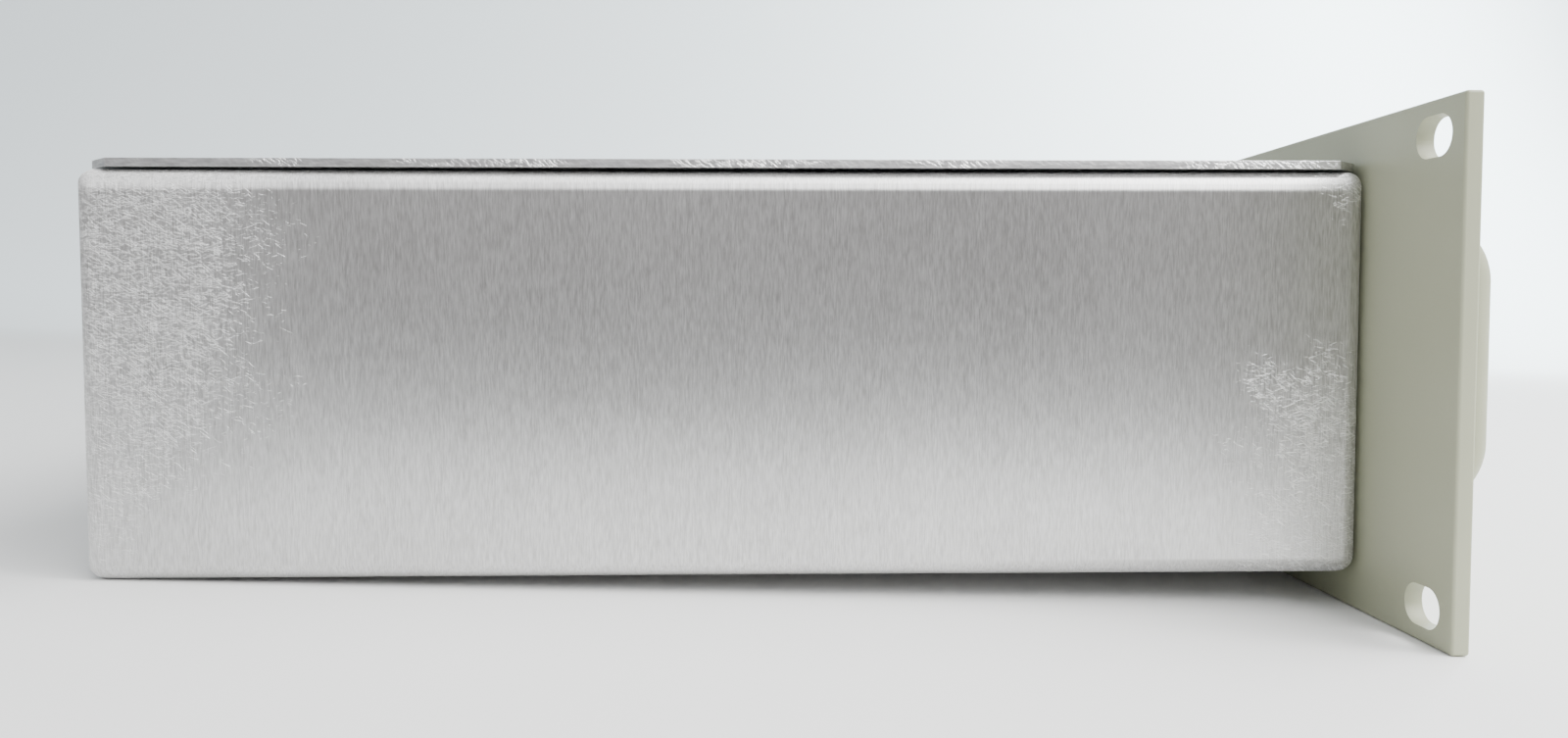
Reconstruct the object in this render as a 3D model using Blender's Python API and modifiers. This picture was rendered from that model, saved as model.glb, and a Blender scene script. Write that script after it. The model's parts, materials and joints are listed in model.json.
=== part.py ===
"""Two-unit rack-mount equipment chassis.

A welded, brushed aluminium case with a screwed-down cover plate carries a painted rack panel
with two bow handles, a rocker switch and two lamps. The rear wall holds the mains inlet with
its fuse drawer, a fan with a wire guard and a signal connector. Inside are the power supply,
the main board and the leads that join them.

Metres, +Z up. The front panel faces -Y and +X is on the right of someone facing it.
The origin is the centre of the base of the whole object's box, at the panel's lower edge.
Places along Y are given as a depth behind the panel's rear face and turned into Y by at().
"""

import math

import bmesh
import bpy
from mathutils import Matrix, Vector

# ---------------------------------------------------------------- driving dimensions
GAP = 0.0003  # between pieces that rest on each other

PANEL_WIDTH = 0.4826
PANEL_HEIGHT = 0.0881
PANEL_THICKNESS = 0.003
PANEL_EDGE_RADIUS = 0.0005
PANEL_MIDDLE_Z = PANEL_HEIGHT / 2

SLOT_LENGTH = 0.0103
SLOT_WIDTH = 0.0068
SLOT_FROM_END = 0.00875
SLOT_SPACING = 0.0762

CASE_WIDTH = 0.426
CASE_DEPTH = 0.2267
CASE_HEIGHT = 0.072
CASE_BASE_Z = 0.00685
CASE_WALL = 0.002
CASE_BEND_RADIUS = 0.003
CASE_INNER_RADIUS = 0.0012
CASE_FLANGE = 0.014
CASE_FRONT = GAP
CASE_REAR = CASE_FRONT + CASE_DEPTH
CASE_TOP_Z = CASE_BASE_Z + CASE_HEIGHT
FLOOR_Z = CASE_BASE_Z + CASE_WALL + GAP  # where pieces inside stand
REAR_INSIDE = CASE_REAR - CASE_WALL

COVER_THICKNESS = 0.0015
COVER_FRONT = 0.0008
COVER_REAR = 0.2256
COVER_CORNER_CUT = 0.0046
COVER_SCREW_INSET = 0.009

HANDLE_FROM_END = 0.046
HANDLE_BAR_RADIUS = 0.004
HANDLE_SPACING = 0.049
HANDLE_BEND_RADIUS = 0.009
HANDLE_REACH = 0.0294
HANDLE_X = PANEL_WIDTH / 2 - HANDLE_FROM_END

REAR_REACH = 0.006  # how far the signal connector stands out of the rear wall
PANEL_REAR_Y = (HANDLE_REACH + PANEL_THICKNESS - CASE_REAR - REAR_REACH) / 2

PANEL_SCREW_X = 0.075
PANEL_SCREW_SPACING = 0.050
SCREW_HOLE_RADIUS = 0.0019  # clearance for M3
HANDLE_HOLE_RADIUS = 0.0023  # clearance for M4
SHANK_RADIUS = 0.0015
SINK_RADIUS = 0.0038

SWITCH_X = 0.140
SWITCH_BEZEL = (0.015, 0.021)
SWITCH_BODY = (0.0126, 0.0188)
SWITCH_BODY_REAR = 0.015
SWITCH_CAVITY = (0.0104, 0.0168)
SWITCH_CAVITY_REAR = 0.010
SWITCH_BEZEL_THICKNESS = 0.002
SWITCH_PIVOT_DEPTH = -0.0005
ROCKER_TILT = math.radians(10)

LAMP_PLACES = (("power_lamp", 0.113), ("status_lamp", 0.098))
LAMP_BODY_RADIUS = 0.0030
LENS_RADIUS = 0.0023

INLET_X = 0.160
FAN_X = 0.080
CONNECTOR_X = -0.090
REAR_MIDDLE_Z = 0.043

INLET_FLANGE = (0.050, 0.031, 0.003)
INLET_BODY = (0.027, 0.029, 0.021)
INLET_SOCKET = (0.024, 0.0164, 0.016)
INLET_SOCKET_RISE = 0.0055
INLET_CORNER = 0.004
INLET_SCREW_X = 0.020
PIN_SIZE = (0.002, 0.004)
FUSE_SLOT = (0.0226, 0.0086, 0.022)
FUSE_SLOT_DROP = 0.0092

FAN_SIZE = 0.060
FAN_DEPTH = 0.020
FAN_BORE = 0.0285
FAN_SCREW_OFFSET = 0.025
FAN_FRONT = REAR_INSIDE - 2 * GAP - FAN_DEPTH
FAN_BLADES = 7
FAN_PITCH = math.radians(32)
FAN_GUARD_RADII = (0.0075, 0.0145, 0.0215, 0.0285)
GUARD_WIRE_RADIUS = 0.0009

CONNECTOR_SCREW_X = 0.0235
CONNECTOR_SHEET = 0.001
INSERT_BLOCK = (0.041, 0.0085, 0.0105)

VENT_X = 0.010
VENT_PITCH = 0.014
VENT_DEPTHS = (0.020, 0.042)

SUPPLY_X = 0.074
SUPPLY_SIZE = (0.098, 0.128)
SUPPLY_MIDDLE = 0.112
BRACKET_SHEET = 0.0015
BOARD_THICKNESS = 0.0016

BOARD_X = -0.110
BOARD_SIZE = (0.160, 0.140)
BOARD_MIDDLE = 0.105
STANDOFF_HEIGHT = 0.010
STANDOFF_INSET = 0.006

# ---------------------------------------------------------------- scene, collections, materials
for old in list(bpy.data.objects):
    bpy.data.objects.remove(old, do_unlink=True)

scene_root = bpy.context.scene.collection
parts = bpy.data.collections.new("rack_chassis")
helpers = bpy.data.collections.new("cutters")
scene_root.children.link(parts)
scene_root.children.link(helpers)


def material(name, colour, roughness, metallic):
    made = bpy.data.materials.new(name)
    made.use_nodes = True
    shader = made.node_tree.nodes["Principled BSDF"]
    shader.inputs["Base Color"].default_value = (*colour, 1)
    shader.inputs["Roughness"].default_value = roughness
    shader.inputs["Metallic"].default_value = metallic
    made.diffuse_color = (*colour, 1)
    return made


BRUSHED = material("brushed_aluminium", (0.62, 0.62, 0.61), 0.38, 1)
PAINT = material("panel_paint", (0.43, 0.43, 0.36), 0.5, 0)
STEEL = material("zinc_steel", (0.60, 0.60, 0.58), 0.3, 1)
BLACK = material("black_plastic", (0.02, 0.02, 0.022), 0.45, 0)
COPPER = material("copper", (0.72, 0.40, 0.22), 0.35, 1)
GREEN_LENS = material("green_lens", (0.05, 0.55, 0.15), 0.15, 0)
AMBER_LENS = material("amber_lens", (0.85, 0.45, 0.05), 0.15, 0)
GLASS = material("fuse_glass", (0.75, 0.80, 0.80), 0.1, 0)
BRASS = material("tinned_brass", (0.75, 0.66, 0.42), 0.3, 1)
LAMINATE = material("circuit_board", (0.03, 0.20, 0.09), 0.5, 0)
SLEEVE = material("capacitor_sleeve", (0.03, 0.05, 0.14), 0.4, 0)
FERRITE = material("transformer", (0.45, 0.34, 0.10), 0.5, 0)
LEAD = material("lead_insulation", (0.03, 0.03, 0.03), 0.5, 0)
RIBBON = material("ribbon_cable", (0.45, 0.45, 0.46), 0.5, 0)

SIDEWARD = (1, 0, 0)
REARWARD = (0, 1, 0)
FORWARD = (0, -1, 0)
UPWARD = (0, 0, 1)


# ---------------------------------------------------------------- modelling helpers
def at(x, depth, z):
    """The place x across, depth behind the panel's rear face and z above the base."""
    return Vector((x, PANEL_REAR_Y + depth, z))


def placed(name, data, place, finish=None, towards=None):
    """An object of the assembly or, with no finish, a cutter. Its +Z turns towards a direction."""
    made = bpy.data.objects.new(name, data)
    made.location = place
    if towards is not None:
        made.rotation_euler = Vector(towards).to_track_quat("Z", "Y").to_euler()
    if finish is None:
        helpers.objects.link(made)
        made.hide_render = True
        made.display_type = "WIRE"
    else:
        parts.objects.link(made)
        data.materials.clear()
        data.materials.append(finish)
    return made


def evaluated_mesh(source):
    """The object's mesh with its modifiers applied; the object itself is removed."""
    bpy.context.view_layer.update()
    graph = bpy.context.evaluated_depsgraph_get()
    mesh = bpy.data.meshes.new_from_object(source.evaluated_get(graph))
    mesh.name = source.name
    bpy.data.objects.remove(source, do_unlink=True)
    return mesh


def rounded(obj, radius, segments=2):
    bevel = obj.modifiers.new("rounded_edges", "BEVEL")
    bevel.width = radius
    bevel.segments = segments
    bevel.limit_method = "ANGLE"
    return obj


def combined(obj, operation, others):
    for other in others:
        step = obj.modifiers.new(other.name, "BOOLEAN")
        step.operation = operation
        step.object = other
    return obj


def cut(obj, *cutters):
    return combined(obj, "DIFFERENCE", cutters)


def joined(obj, *others):
    return combined(obj, "UNION", others)


def box_mesh(name, size, upright_radius=0.0):
    """A box about its middle; upright_radius rounds its four edges along Z."""
    mesh = bpy.data.meshes.new(name)
    bm = bmesh.new()
    bmesh.ops.create_cube(bm, size=1)
    bmesh.ops.scale(bm, vec=size, verts=bm.verts)
    if upright_radius:
        upright = [e for e in bm.edges if abs((e.verts[0].co - e.verts[1].co).normalized().z) > 0.9]
        bmesh.ops.bevel(bm, geom=upright, offset=upright_radius, segments=2, profile=0.5, affect="EDGES")
    bm.to_mesh(mesh)
    bm.free()
    return mesh


def box(name, size, place, finish=None, **options):
    return placed(name, box_mesh(name, size, **options), place, finish)


def outline_curve(name, points, half_depth, fill):
    """A flat outline of (x, y) points drawn out by half_depth to both sides along Z."""
    curve = bpy.data.curves.new(name, "CURVE")
    curve.dimensions = "2D"
    curve.fill_mode = "BOTH" if fill else "NONE"
    curve.extrude = half_depth
    spline = curve.splines.new("POLY")
    spline.use_cyclic_u = fill
    spline.points.add(len(points) - 1)
    for target, (x, y) in zip(spline.points, points):
        target.co = (x, y, 0, 1)
    return curve


def slab(name, points, depth, place, towards, finish=None):
    """A closed outline drawn out along a direction, about its place."""
    curve = placed(name + "_outline", outline_curve(name, points, depth / 2, fill=True), Vector())
    return placed(name, welded(evaluated_mesh(curve)), place, finish, towards)


def welded(mesh):
    """Joins the loose caps of a mesh that was made from a curve to its sides."""
    bm = bmesh.new()
    bm.from_mesh(mesh)
    bmesh.ops.remove_doubles(bm, verts=bm.verts, dist=0.00001)
    bmesh.ops.recalc_face_normals(bm, faces=bm.faces)
    bm.to_mesh(mesh)
    bm.free()
    return mesh


def cone_mesh(name, radius, length, sides, far_radius):
    """A cylinder or cone about its middle, along Z; far_radius is at its +Z end."""
    mesh = bpy.data.meshes.new(name)
    bm = bmesh.new()
    bmesh.ops.create_cone(
        bm, cap_ends=True, segments=sides, radius1=radius, radius2=far_radius, depth=length
    )
    bm.to_mesh(mesh)
    bm.free()
    mesh.shade_smooth()
    mesh.set_sharp_from_angle(angle=math.radians(40))
    return mesh


def rod(name, radius, start, end, finish=None, *, sides, far_radius=None):
    """A cylinder or cone from start to end."""
    far_radius = radius if far_radius is None else far_radius
    along = end - start
    mesh = cone_mesh(name, radius, along.length, sides, far_radius)
    return placed(name, mesh, (start + end) / 2, finish, towards=along)


def through(name, radius, x, z, first, last, sides=16):
    """A cutter along Y, from one depth to another."""
    return rod(name, radius, at(x, first, z), at(x, last, z), sides=sides)


def turned(name, profile, place, finish, towards, steps=16, ring=False):
    """A profile of (radius, height) points, outer side from top to bottom, turned about Z."""
    mesh = bpy.data.meshes.new(name)
    edges = [(i, (i + 1) % len(profile)) for i in range(len(profile) - 1 + ring)]
    mesh.from_pydata([(r, 0, h) for r, h in profile], edges, [])
    made = placed(name, mesh, place, finish, towards)
    screw = made.modifiers.new("turned", "SCREW")
    screw.axis = "Z"
    screw.steps = steps
    screw.render_steps = steps
    screw.use_merge_vertices = True
    screw.merge_threshold = 0.00001
    screw.use_smooth_shade = True
    return made


def path_curve(name, points, radius, resolution):
    curve = bpy.data.curves.new(name, "CURVE")
    curve.dimensions = "3D"
    curve.bevel_depth = radius
    curve.bevel_resolution = resolution
    curve.use_fill_caps = True
    spline = curve.splines.new("POLY")
    spline.points.add(len(points) - 1)
    for target, point in zip(spline.points, points):
        target.co = (*point, 1)
    return curve


def smooth_path(points, per_span):
    """Points along a smooth curve through the given ones."""
    ends = [points[0] * 2 - points[1], *points, points[-1] * 2 - points[-2]]
    found = []
    for a, b, c, d in zip(ends, ends[1:], ends[2:], ends[3:]):
        for step in range(per_span):
            t = step / per_span
            found.append(
                0.5 * (2 * b + (c - a) * t + (2 * a - 5 * b + 4 * c - d) * t**2
                       + (3 * b - a - 3 * c + d) * t**3)
            )
    return [*found, points[-1]]


def lead(name, route, radius, finish):
    """An insulated lead through the given (x, depth, z) places."""
    points = smooth_path([at(*place) for place in route], per_span=4)
    return placed(name, path_curve(name, points, radius, resolution=2), Vector(), finish)


# ---------------------------------------------------------------- screws
def cross_recess(name, size, depth):
    """Two crossed bars that cut a cross recess into a head whose top is at the origin."""
    bars = []
    for turn in (0, 1):
        bar = box(f"{name}_{turn}", (size, size * 0.28, 2 * depth), Vector())
        bar.rotation_euler.z = turn * math.pi / 2
        bars.append(bar)
    return bars


def countersunk_mesh(name, head_radius, shank_radius, length):
    cone = head_radius - shank_radius
    profile = [
        (0, 0),
        (head_radius, 0),
        (head_radius, -0.0002),
        (shank_radius, -0.0002 - cone),
        (shank_radius, -length),
        (0, -length),
    ]
    body = turned(name, profile, Vector(), STEEL, towards=UPWARD, steps=12)
    return evaluated_mesh(cut(body, *cross_recess(name + "_recess", head_radius, 0.001)))


def pan_head_mesh(name, head_radius, head_height, shank_radius, length):
    """The underside of the head is at the origin."""
    profile = [
        (0, head_height),
        (head_radius * 0.6, head_height),
        (head_radius * 0.92, head_height * 0.65),
        (head_radius, 0),
        (shank_radius, 0),
        (shank_radius, -length),
        (0, -length),
    ]
    body = turned(name, profile, Vector(), STEEL, towards=UPWARD, steps=12)
    recess = cross_recess(name + "_recess", head_radius, 0.0012)
    for bar in recess:
        bar.location.z = head_height
    return evaluated_mesh(cut(body, *recess))


def countersink(name, face, outward):
    """The cone that a countersunk head sits in, with its mouth on the surface at face."""
    over, depth = 0.0002, 0.0019
    outward = Vector(outward)
    return rod(
        name, SINK_RADIUS, face + outward * over, face - outward * (depth - over),
        sides=16, far_radius=SINK_RADIUS - depth,
    )


def screw(name, mesh, place, towards):
    return placed(name, mesh, place, STEEL, towards)


def spread(across, up):
    """The four (name, x, z) places of a pattern that is mirrored in both directions."""
    return [
        (f"{side}_{level}", sx * across, sz * up)
        for side, sx in (("left", -1), ("right", 1))
        for level, sz in (("lower", -1), ("upper", 1))
    ]


# ---------------------------------------------------------------- front panel and handles
def slot_outline():
    """A rack slot: wider than it is tall, with round ends."""
    radius = SLOT_WIDTH / 2
    straight = SLOT_LENGTH / 2 - radius
    points = []
    for side in (1, -1):
        for step in range(9):
            angle = math.radians(22.5 * step - 90)
            x = straight + radius * math.cos(angle)
            points.append((side * x, side * radius * math.sin(angle)))
    return points


def front_panel():
    size = (PANEL_WIDTH, PANEL_THICKNESS, PANEL_HEIGHT)
    panel = box("front_panel", size, at(0, -PANEL_THICKNESS / 2, PANEL_MIDDLE_Z), PAINT)
    rounded(panel, PANEL_EDGE_RADIUS)
    slot_x = PANEL_WIDTH / 2 - SLOT_FROM_END
    for name, x, z in spread(slot_x, SLOT_SPACING / 2):
        middle = at(x, -PANEL_THICKNESS / 2, PANEL_MIDDLE_Z + z)
        cut(panel, slab(f"rack_slot_{name}", slot_outline(), 3 * PANEL_THICKNESS, middle, REARWARD))
    behind, ahead = PANEL_THICKNESS, -2 * PANEL_THICKNESS
    for name, x, z in spread(HANDLE_X, HANDLE_SPACING / 2):
        hole = (HANDLE_HOLE_RADIUS, x, PANEL_MIDDLE_Z + z, ahead, behind)
        cut(panel, through(f"panel_handle_hole_{name}", *hole))
    for name, x, z in spread(PANEL_SCREW_X, PANEL_SCREW_SPACING / 2):
        z += PANEL_MIDDLE_Z
        sink = countersink(f"panel_sink_{name}", at(x, -PANEL_THICKNESS, z), FORWARD)
        cut(panel, sink, through(f"panel_screw_hole_{name}", SCREW_HOLE_RADIUS, x, z, ahead, behind))
    cut(panel, box("panel_switch_hole", (0.0132, 0.02, 0.0194), at(SWITCH_X, 0, PANEL_MIDDLE_Z)))
    for name, x in LAMP_PLACES:
        hole = (LAMP_BODY_RADIUS + 0.0004, x, PANEL_MIDDLE_Z, ahead, behind)
        cut(panel, through(f"panel_{name}_hole", *hole))


def handle_path(x):
    """The bar's centre line: out of the panel, up and back, with two round bends."""
    start = -PANEL_THICKNESS - GAP
    far = -PANEL_THICKNESS - HANDLE_REACH + HANDLE_BAR_RADIUS
    half = HANDLE_SPACING / 2
    lower = []
    for step in range(9):
        angle = math.radians(90 * step / 8)
        depth = far + HANDLE_BEND_RADIUS * (1 - math.sin(angle))
        lower.append((depth, -half + HANDLE_BEND_RADIUS * (1 - math.cos(angle))))
    side = [(start, -half), *lower]
    both = side + [(depth, -z) for depth, z in reversed(side)]
    return [at(x, depth, PANEL_MIDDLE_Z + z) for depth, z in both]


def handles(screw_mesh):
    for side, x in (("left", -HANDLE_X), ("right", HANDLE_X)):
        curve = path_curve(f"handle_{side}_path", handle_path(x), HANDLE_BAR_RADIUS, resolution=4)
        mesh = welded(evaluated_mesh(placed(f"handle_{side}_path", curve, Vector())))
        mesh.shade_smooth()
        mesh.set_sharp_from_angle(angle=math.radians(40))
        bar = placed(f"handle_{side}", mesh, Vector(), PAINT)
        for level, z in (("lower", -HANDLE_SPACING / 2), ("upper", HANDLE_SPACING / 2)):
            z += PANEL_MIDDLE_Z
            hole = (HANDLE_HOLE_RADIUS, x, z, -0.014, 0)
            cut(bar, through(f"tapped_{side}_{level}", *hole, sides=12))
            inside = at(x, CASE_FRONT + CASE_WALL + GAP, z)
            screw(f"handle_screw_{side}_{level}", screw_mesh, inside, REARWARD)


# ---------------------------------------------------------------- case and cover
def case_tub():
    middle = at(0, CASE_FRONT + CASE_DEPTH / 2, CASE_BASE_Z + CASE_HEIGHT / 2)
    tub = box("case_tub", (CASE_WIDTH, CASE_DEPTH, CASE_HEIGHT), middle, BRUSHED)
    rounded(tub, CASE_BEND_RADIUS, segments=4)
    inside = [side - 2 * CASE_WALL for side in (CASE_WIDTH, CASE_DEPTH, CASE_HEIGHT)]
    cavity = rounded(box("case_cavity", inside, middle), CASE_INNER_RADIUS)
    mouth_size = (CASE_WIDTH - 2 * CASE_FLANGE, CASE_DEPTH - 2 * CASE_FLANGE, 0.02)
    mouth = box("case_mouth", mouth_size, middle + Vector((0, 0, CASE_HEIGHT / 2)), upright_radius=0.003)
    cut(tub, cavity, mouth)
    case_front_holes(tub)
    case_rear_holes(tub)
    case_vents(tub)
    for name, x, depth in cover_screw_places():
        top = at(x, depth, CASE_TOP_Z)
        up = Vector((0, 0, 0.004))
        cut(tub, rod(f"case_{name}_hole", SCREW_HOLE_RADIUS, top - up, top + up, sides=12))


def case_front_holes(tub):
    first, last = -0.002, CASE_WALL + 0.002
    for name, x, z in spread(HANDLE_X, HANDLE_SPACING / 2):
        z += PANEL_MIDDLE_Z
        hole = (HANDLE_HOLE_RADIUS, x, z, first, last)
        cut(tub, through(f"case_handle_hole_{name}", *hole, sides=12))
    for name, x, z in spread(PANEL_SCREW_X, PANEL_SCREW_SPACING / 2):
        z += PANEL_MIDDLE_Z
        hole = (SCREW_HOLE_RADIUS, x, z, first, last)
        cut(tub, through(f"case_screw_hole_{name}", *hole, sides=12))
    cut(tub, box("case_switch_hole", (0.0142, 0.02, 0.0204), at(SWITCH_X, 0, PANEL_MIDDLE_Z)))
    for name, x in LAMP_PLACES:
        hole = (LAMP_BODY_RADIUS + 0.0015, x, PANEL_MIDDLE_Z, first, last)
        cut(tub, through(f"case_{name}_hole", *hole))


def case_rear_holes(tub):
    first, last = REAR_INSIDE - 0.002, CASE_REAR + 0.002
    middle = CASE_REAR - CASE_WALL / 2
    cut(tub, through("case_fan_hole", 0.028, FAN_X, REAR_MIDDLE_Z, first, last, sides=36))
    for name, x, z in spread(FAN_SCREW_OFFSET, FAN_SCREW_OFFSET):
        hole = (FAN_X + x, REAR_MIDDLE_Z + z, first, last)
        cut(tub, through(f"case_fan_screw_{name}", 0.0023, *hole, sides=12))
    inlet_hole = (INLET_BODY[0] + 2 * GAP, 0.01, INLET_BODY[1] + 2 * GAP)
    cut(tub, box("case_inlet_hole", inlet_hole, at(INLET_X, middle, REAR_MIDDLE_Z)))
    connector_hole = (0.041, 0.01, 0.0118)
    cut(tub, box("case_connector_hole", connector_hole, at(CONNECTOR_X, middle, REAR_MIDDLE_Z)))
    pairs = (("inlet", INLET_X, INLET_SCREW_X), ("connector", CONNECTOR_X, CONNECTOR_SCREW_X))
    for name, x, offset in pairs:
        for side in (-1, 1):
            hole = (x + side * offset, REAR_MIDDLE_Z, first, last)
            cut(tub, through(f"case_{name}_screw_{side}", SCREW_HOLE_RADIUS, *hole, sides=12))


def case_vents(tub):
    """Air intake slots in the floor, in two rows behind the front wall."""
    for row, depth in enumerate(VENT_DEPTHS):
        for column in range(4):
            place = at(VENT_X + VENT_PITCH * column, depth, CASE_BASE_Z + CASE_WALL / 2)
            vent = box_mesh("vent", (0.004, 0.016, 0.012), upright_radius=0.0015)
            cut(tub, placed(f"vent_{row}_{column}", vent, place))


def cover_screw_places():
    """(name, x, depth) of the six cover screws: in the corners and halfway along the long edges."""
    reach = CASE_WIDTH / 2 - COVER_SCREW_INSET
    rows = (("front", COVER_FRONT + COVER_SCREW_INSET), ("rear", COVER_REAR - COVER_SCREW_INSET))
    columns = (("left", -reach), ("middle", 0), ("right", reach))
    return [(f"cover_screw_{row}_{side}", x, depth) for row, depth in rows for side, x in columns]


def top_cover(screw_mesh):
    """A flat plate as wide as the case, with its corners cut at 45 degrees."""
    top = CASE_TOP_Z + GAP + COVER_THICKNESS
    half_width, half_depth = CASE_WIDTH / 2, (COVER_REAR - COVER_FRONT) / 2
    outline = []
    for sx, sy in ((1, 1), (-1, 1), (-1, -1), (1, -1)):
        corner = [
            (sx * half_width, sy * (half_depth - COVER_CORNER_CUT)),
            (sx * (half_width - COVER_CORNER_CUT), sy * half_depth),
        ]
        outline += corner if sx == sy else corner[::-1]
    place = at(0, (COVER_FRONT + COVER_REAR) / 2, top - COVER_THICKNESS / 2)
    cover = slab("top_cover", outline, COVER_THICKNESS, place, UPWARD, BRUSHED)
    for name, x, depth in cover_screw_places():
        face = at(x, depth, top)
        up = Vector((0, 0, 0.003))
        hole = rod(f"{name}_clearance", SCREW_HOLE_RADIUS, face - up, face + up, sides=16)
        cut(cover, countersink(f"{name}_sink", face, UPWARD), hole)
        screw(name, screw_mesh, face, UPWARD)


# ---------------------------------------------------------------- front panel fittings
def power_switch():
    face = -PANEL_THICKNESS - GAP
    front = face - SWITCH_BEZEL_THICKNESS
    bezel_size = (SWITCH_BEZEL[0], SWITCH_BEZEL_THICKNESS, SWITCH_BEZEL[1])
    bezel_place = at(SWITCH_X, front + SWITCH_BEZEL_THICKNESS / 2, PANEL_MIDDLE_Z)
    housing = rounded(box("power_switch_housing", bezel_size, bezel_place, BLACK), 0.0006)
    body_front = face - SWITCH_BEZEL_THICKNESS / 2
    body_size = (SWITCH_BODY[0], SWITCH_BODY_REAR - body_front, SWITCH_BODY[1])
    body_place = at(SWITCH_X, (SWITCH_BODY_REAR + body_front) / 2, PANEL_MIDDLE_Z)
    joined(housing, box("switch_body", body_size, body_place))
    cavity_front = front - 0.002
    cavity_size = (SWITCH_CAVITY[0], SWITCH_CAVITY_REAR - cavity_front, SWITCH_CAVITY[1])
    cavity_place = at(SWITCH_X, (SWITCH_CAVITY_REAR + cavity_front) / 2, PANEL_MIDDLE_Z)
    cut(housing, box("switch_cavity", cavity_size, cavity_place))
    pivot = at(SWITCH_X, SWITCH_PIVOT_DEPTH, PANEL_MIDDLE_Z)
    reach = Vector((0.02, 0, 0))
    cut(housing, rod("switch_pivot_hole", 0.0014, pivot - reach, pivot + reach, sides=12))
    power_switch_rocker(pivot)


def power_switch_rocker(pivot):
    """A shallow V-fronted rocker on two stub pins; it rests with its upper end standing out."""
    half_width, half_height, front, dip, back = 0.0049, 0.0070, 0.0060, 0.0012, 0.0026
    upright = [
        (-front, half_height), (-front + dip, 0), (-front, -half_height),
        (back / 3, -0.9 * half_height), (back, 0), (back / 3, 0.9 * half_height),
    ]
    cosine, sine = math.cos(ROCKER_TILT), math.sin(ROCKER_TILT)
    tilted = [(y * cosine - z * sine, y * sine + z * cosine) for y, z in upright]
    rocker = slab("power_switch_rocker", tilted, 2 * half_width, pivot, SIDEWARD, BLACK)
    stub = Vector((half_width + 0.0007, 0, 0))
    joined(rocker, rod("rocker_pins", 0.0011, pivot - stub, pivot + stub, sides=12))


def lamp(name, x, lens_finish):
    """A panel lamp: a flanged bezel and the domed lens held in it."""
    face = at(x, -PANEL_THICKNESS - GAP, PANEL_MIDDLE_Z)
    body, bore, length, lip = LAMP_BODY_RADIUS, LENS_RADIUS + GAP, 0.0065, 0.0012
    bezel = [
        (0.0041, 0.0009), (0.0041, 0), (body, 0), (body, -length),
        (bore, -length), (bore, lip), (0.0037, lip),
    ]
    turned(f"{name}_bezel", bezel, face, STEEL, towards=FORWARD, ring=True)
    angles = [math.radians(18 * step) for step in range(1, 6)]
    dome = [(LENS_RADIUS * math.sin(a), lip + LENS_RADIUS * math.cos(a)) for a in angles]
    shoulder, foot = -length - 0.0004, -length - 0.0014
    lens = [
        (0, lip + LENS_RADIUS), *dome, (LENS_RADIUS, shoulder),
        (0.0029, shoulder), (0.0029, foot), (0, foot),
    ]
    turned(f"{name}_lens", lens, face, lens_finish, towards=FORWARD)


# ---------------------------------------------------------------- mains inlet and fuse
def mains_inlet(screw_mesh):
    face = CASE_REAR + GAP
    outer = face + INLET_FLANGE[2]
    middle = at(INLET_X, 0, REAR_MIDDLE_Z)
    flange_size = (INLET_FLANGE[0], INLET_FLANGE[2], INLET_FLANGE[1])
    flange_middle = middle + Vector((0, face + INLET_FLANGE[2] / 2, 0))
    housing = box("inlet_housing", flange_size, flange_middle, BLACK)
    rounded(housing, 0.0008)
    body_size = (INLET_BODY[0], INLET_BODY[2] + 0.001, INLET_BODY[1])
    body = box("inlet_body", body_size, middle + Vector((0, face + 0.001 - body_size[1] / 2, 0)))
    joined(housing, body)
    half_width, half_height = INLET_SOCKET[0] / 2, INLET_SOCKET[1] / 2
    outline = [
        (half_width, -half_height), (half_width, half_height - INLET_CORNER),
        (half_width - INLET_CORNER, half_height), (INLET_CORNER - half_width, half_height),
        (-half_width, half_height - INLET_CORNER), (-half_width, -half_height),
    ]
    socket_depth = INLET_SOCKET[2] + 0.002
    socket_place = middle + Vector((0, outer + 0.002 - socket_depth / 2, INLET_SOCKET_RISE))
    socket = slab("inlet_socket", outline, socket_depth, socket_place, REARWARD)
    slot_size = (FUSE_SLOT[0], FUSE_SLOT[2] + 0.002, FUSE_SLOT[1])
    slot_middle = Vector((0, outer + 0.002 - slot_size[1] / 2, -FUSE_SLOT_DROP))
    slot = box("fuse_slot", slot_size, middle + slot_middle)
    cut(housing, socket, slot)
    pin_places = (("live", 0.007, -0.002), ("neutral", -0.007, -0.002), ("earth", 0, 0.002))
    for name, x, z in pin_places:
        place = middle + Vector((x, 0, INLET_SOCKET_RISE + z))
        hole_size = (PIN_SIZE[0] + 2 * GAP, 0.03, PIN_SIZE[1] + 2 * GAP)
        cut(housing, box(f"pin_hole_{name}", hole_size, place + Vector((0, face - 0.015, 0))))
        first, last = face - INLET_BODY[2] - 0.007, outer - 0.0023
        pin_size = (PIN_SIZE[0], last - first, PIN_SIZE[1])
        pin_middle = place + Vector((0, (first + last) / 2, 0))
        rounded(box(f"inlet_pin_{name}", pin_size, pin_middle, BRASS), 0.0004, segments=1)
    for side, x in (("left", -INLET_SCREW_X), ("right", INLET_SCREW_X)):
        x += INLET_X
        hole = (x, REAR_MIDDLE_Z, face - 0.002, outer + 0.002)
        cut(housing, through(f"inlet_screw_hole_{side}", SCREW_HOLE_RADIUS, *hole, sides=12))
        screw(f"inlet_screw_{side}", screw_mesh, at(x, outer + GAP, REAR_MIDDLE_Z), REARWARD)
    fuse_drawer(outer)


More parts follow.
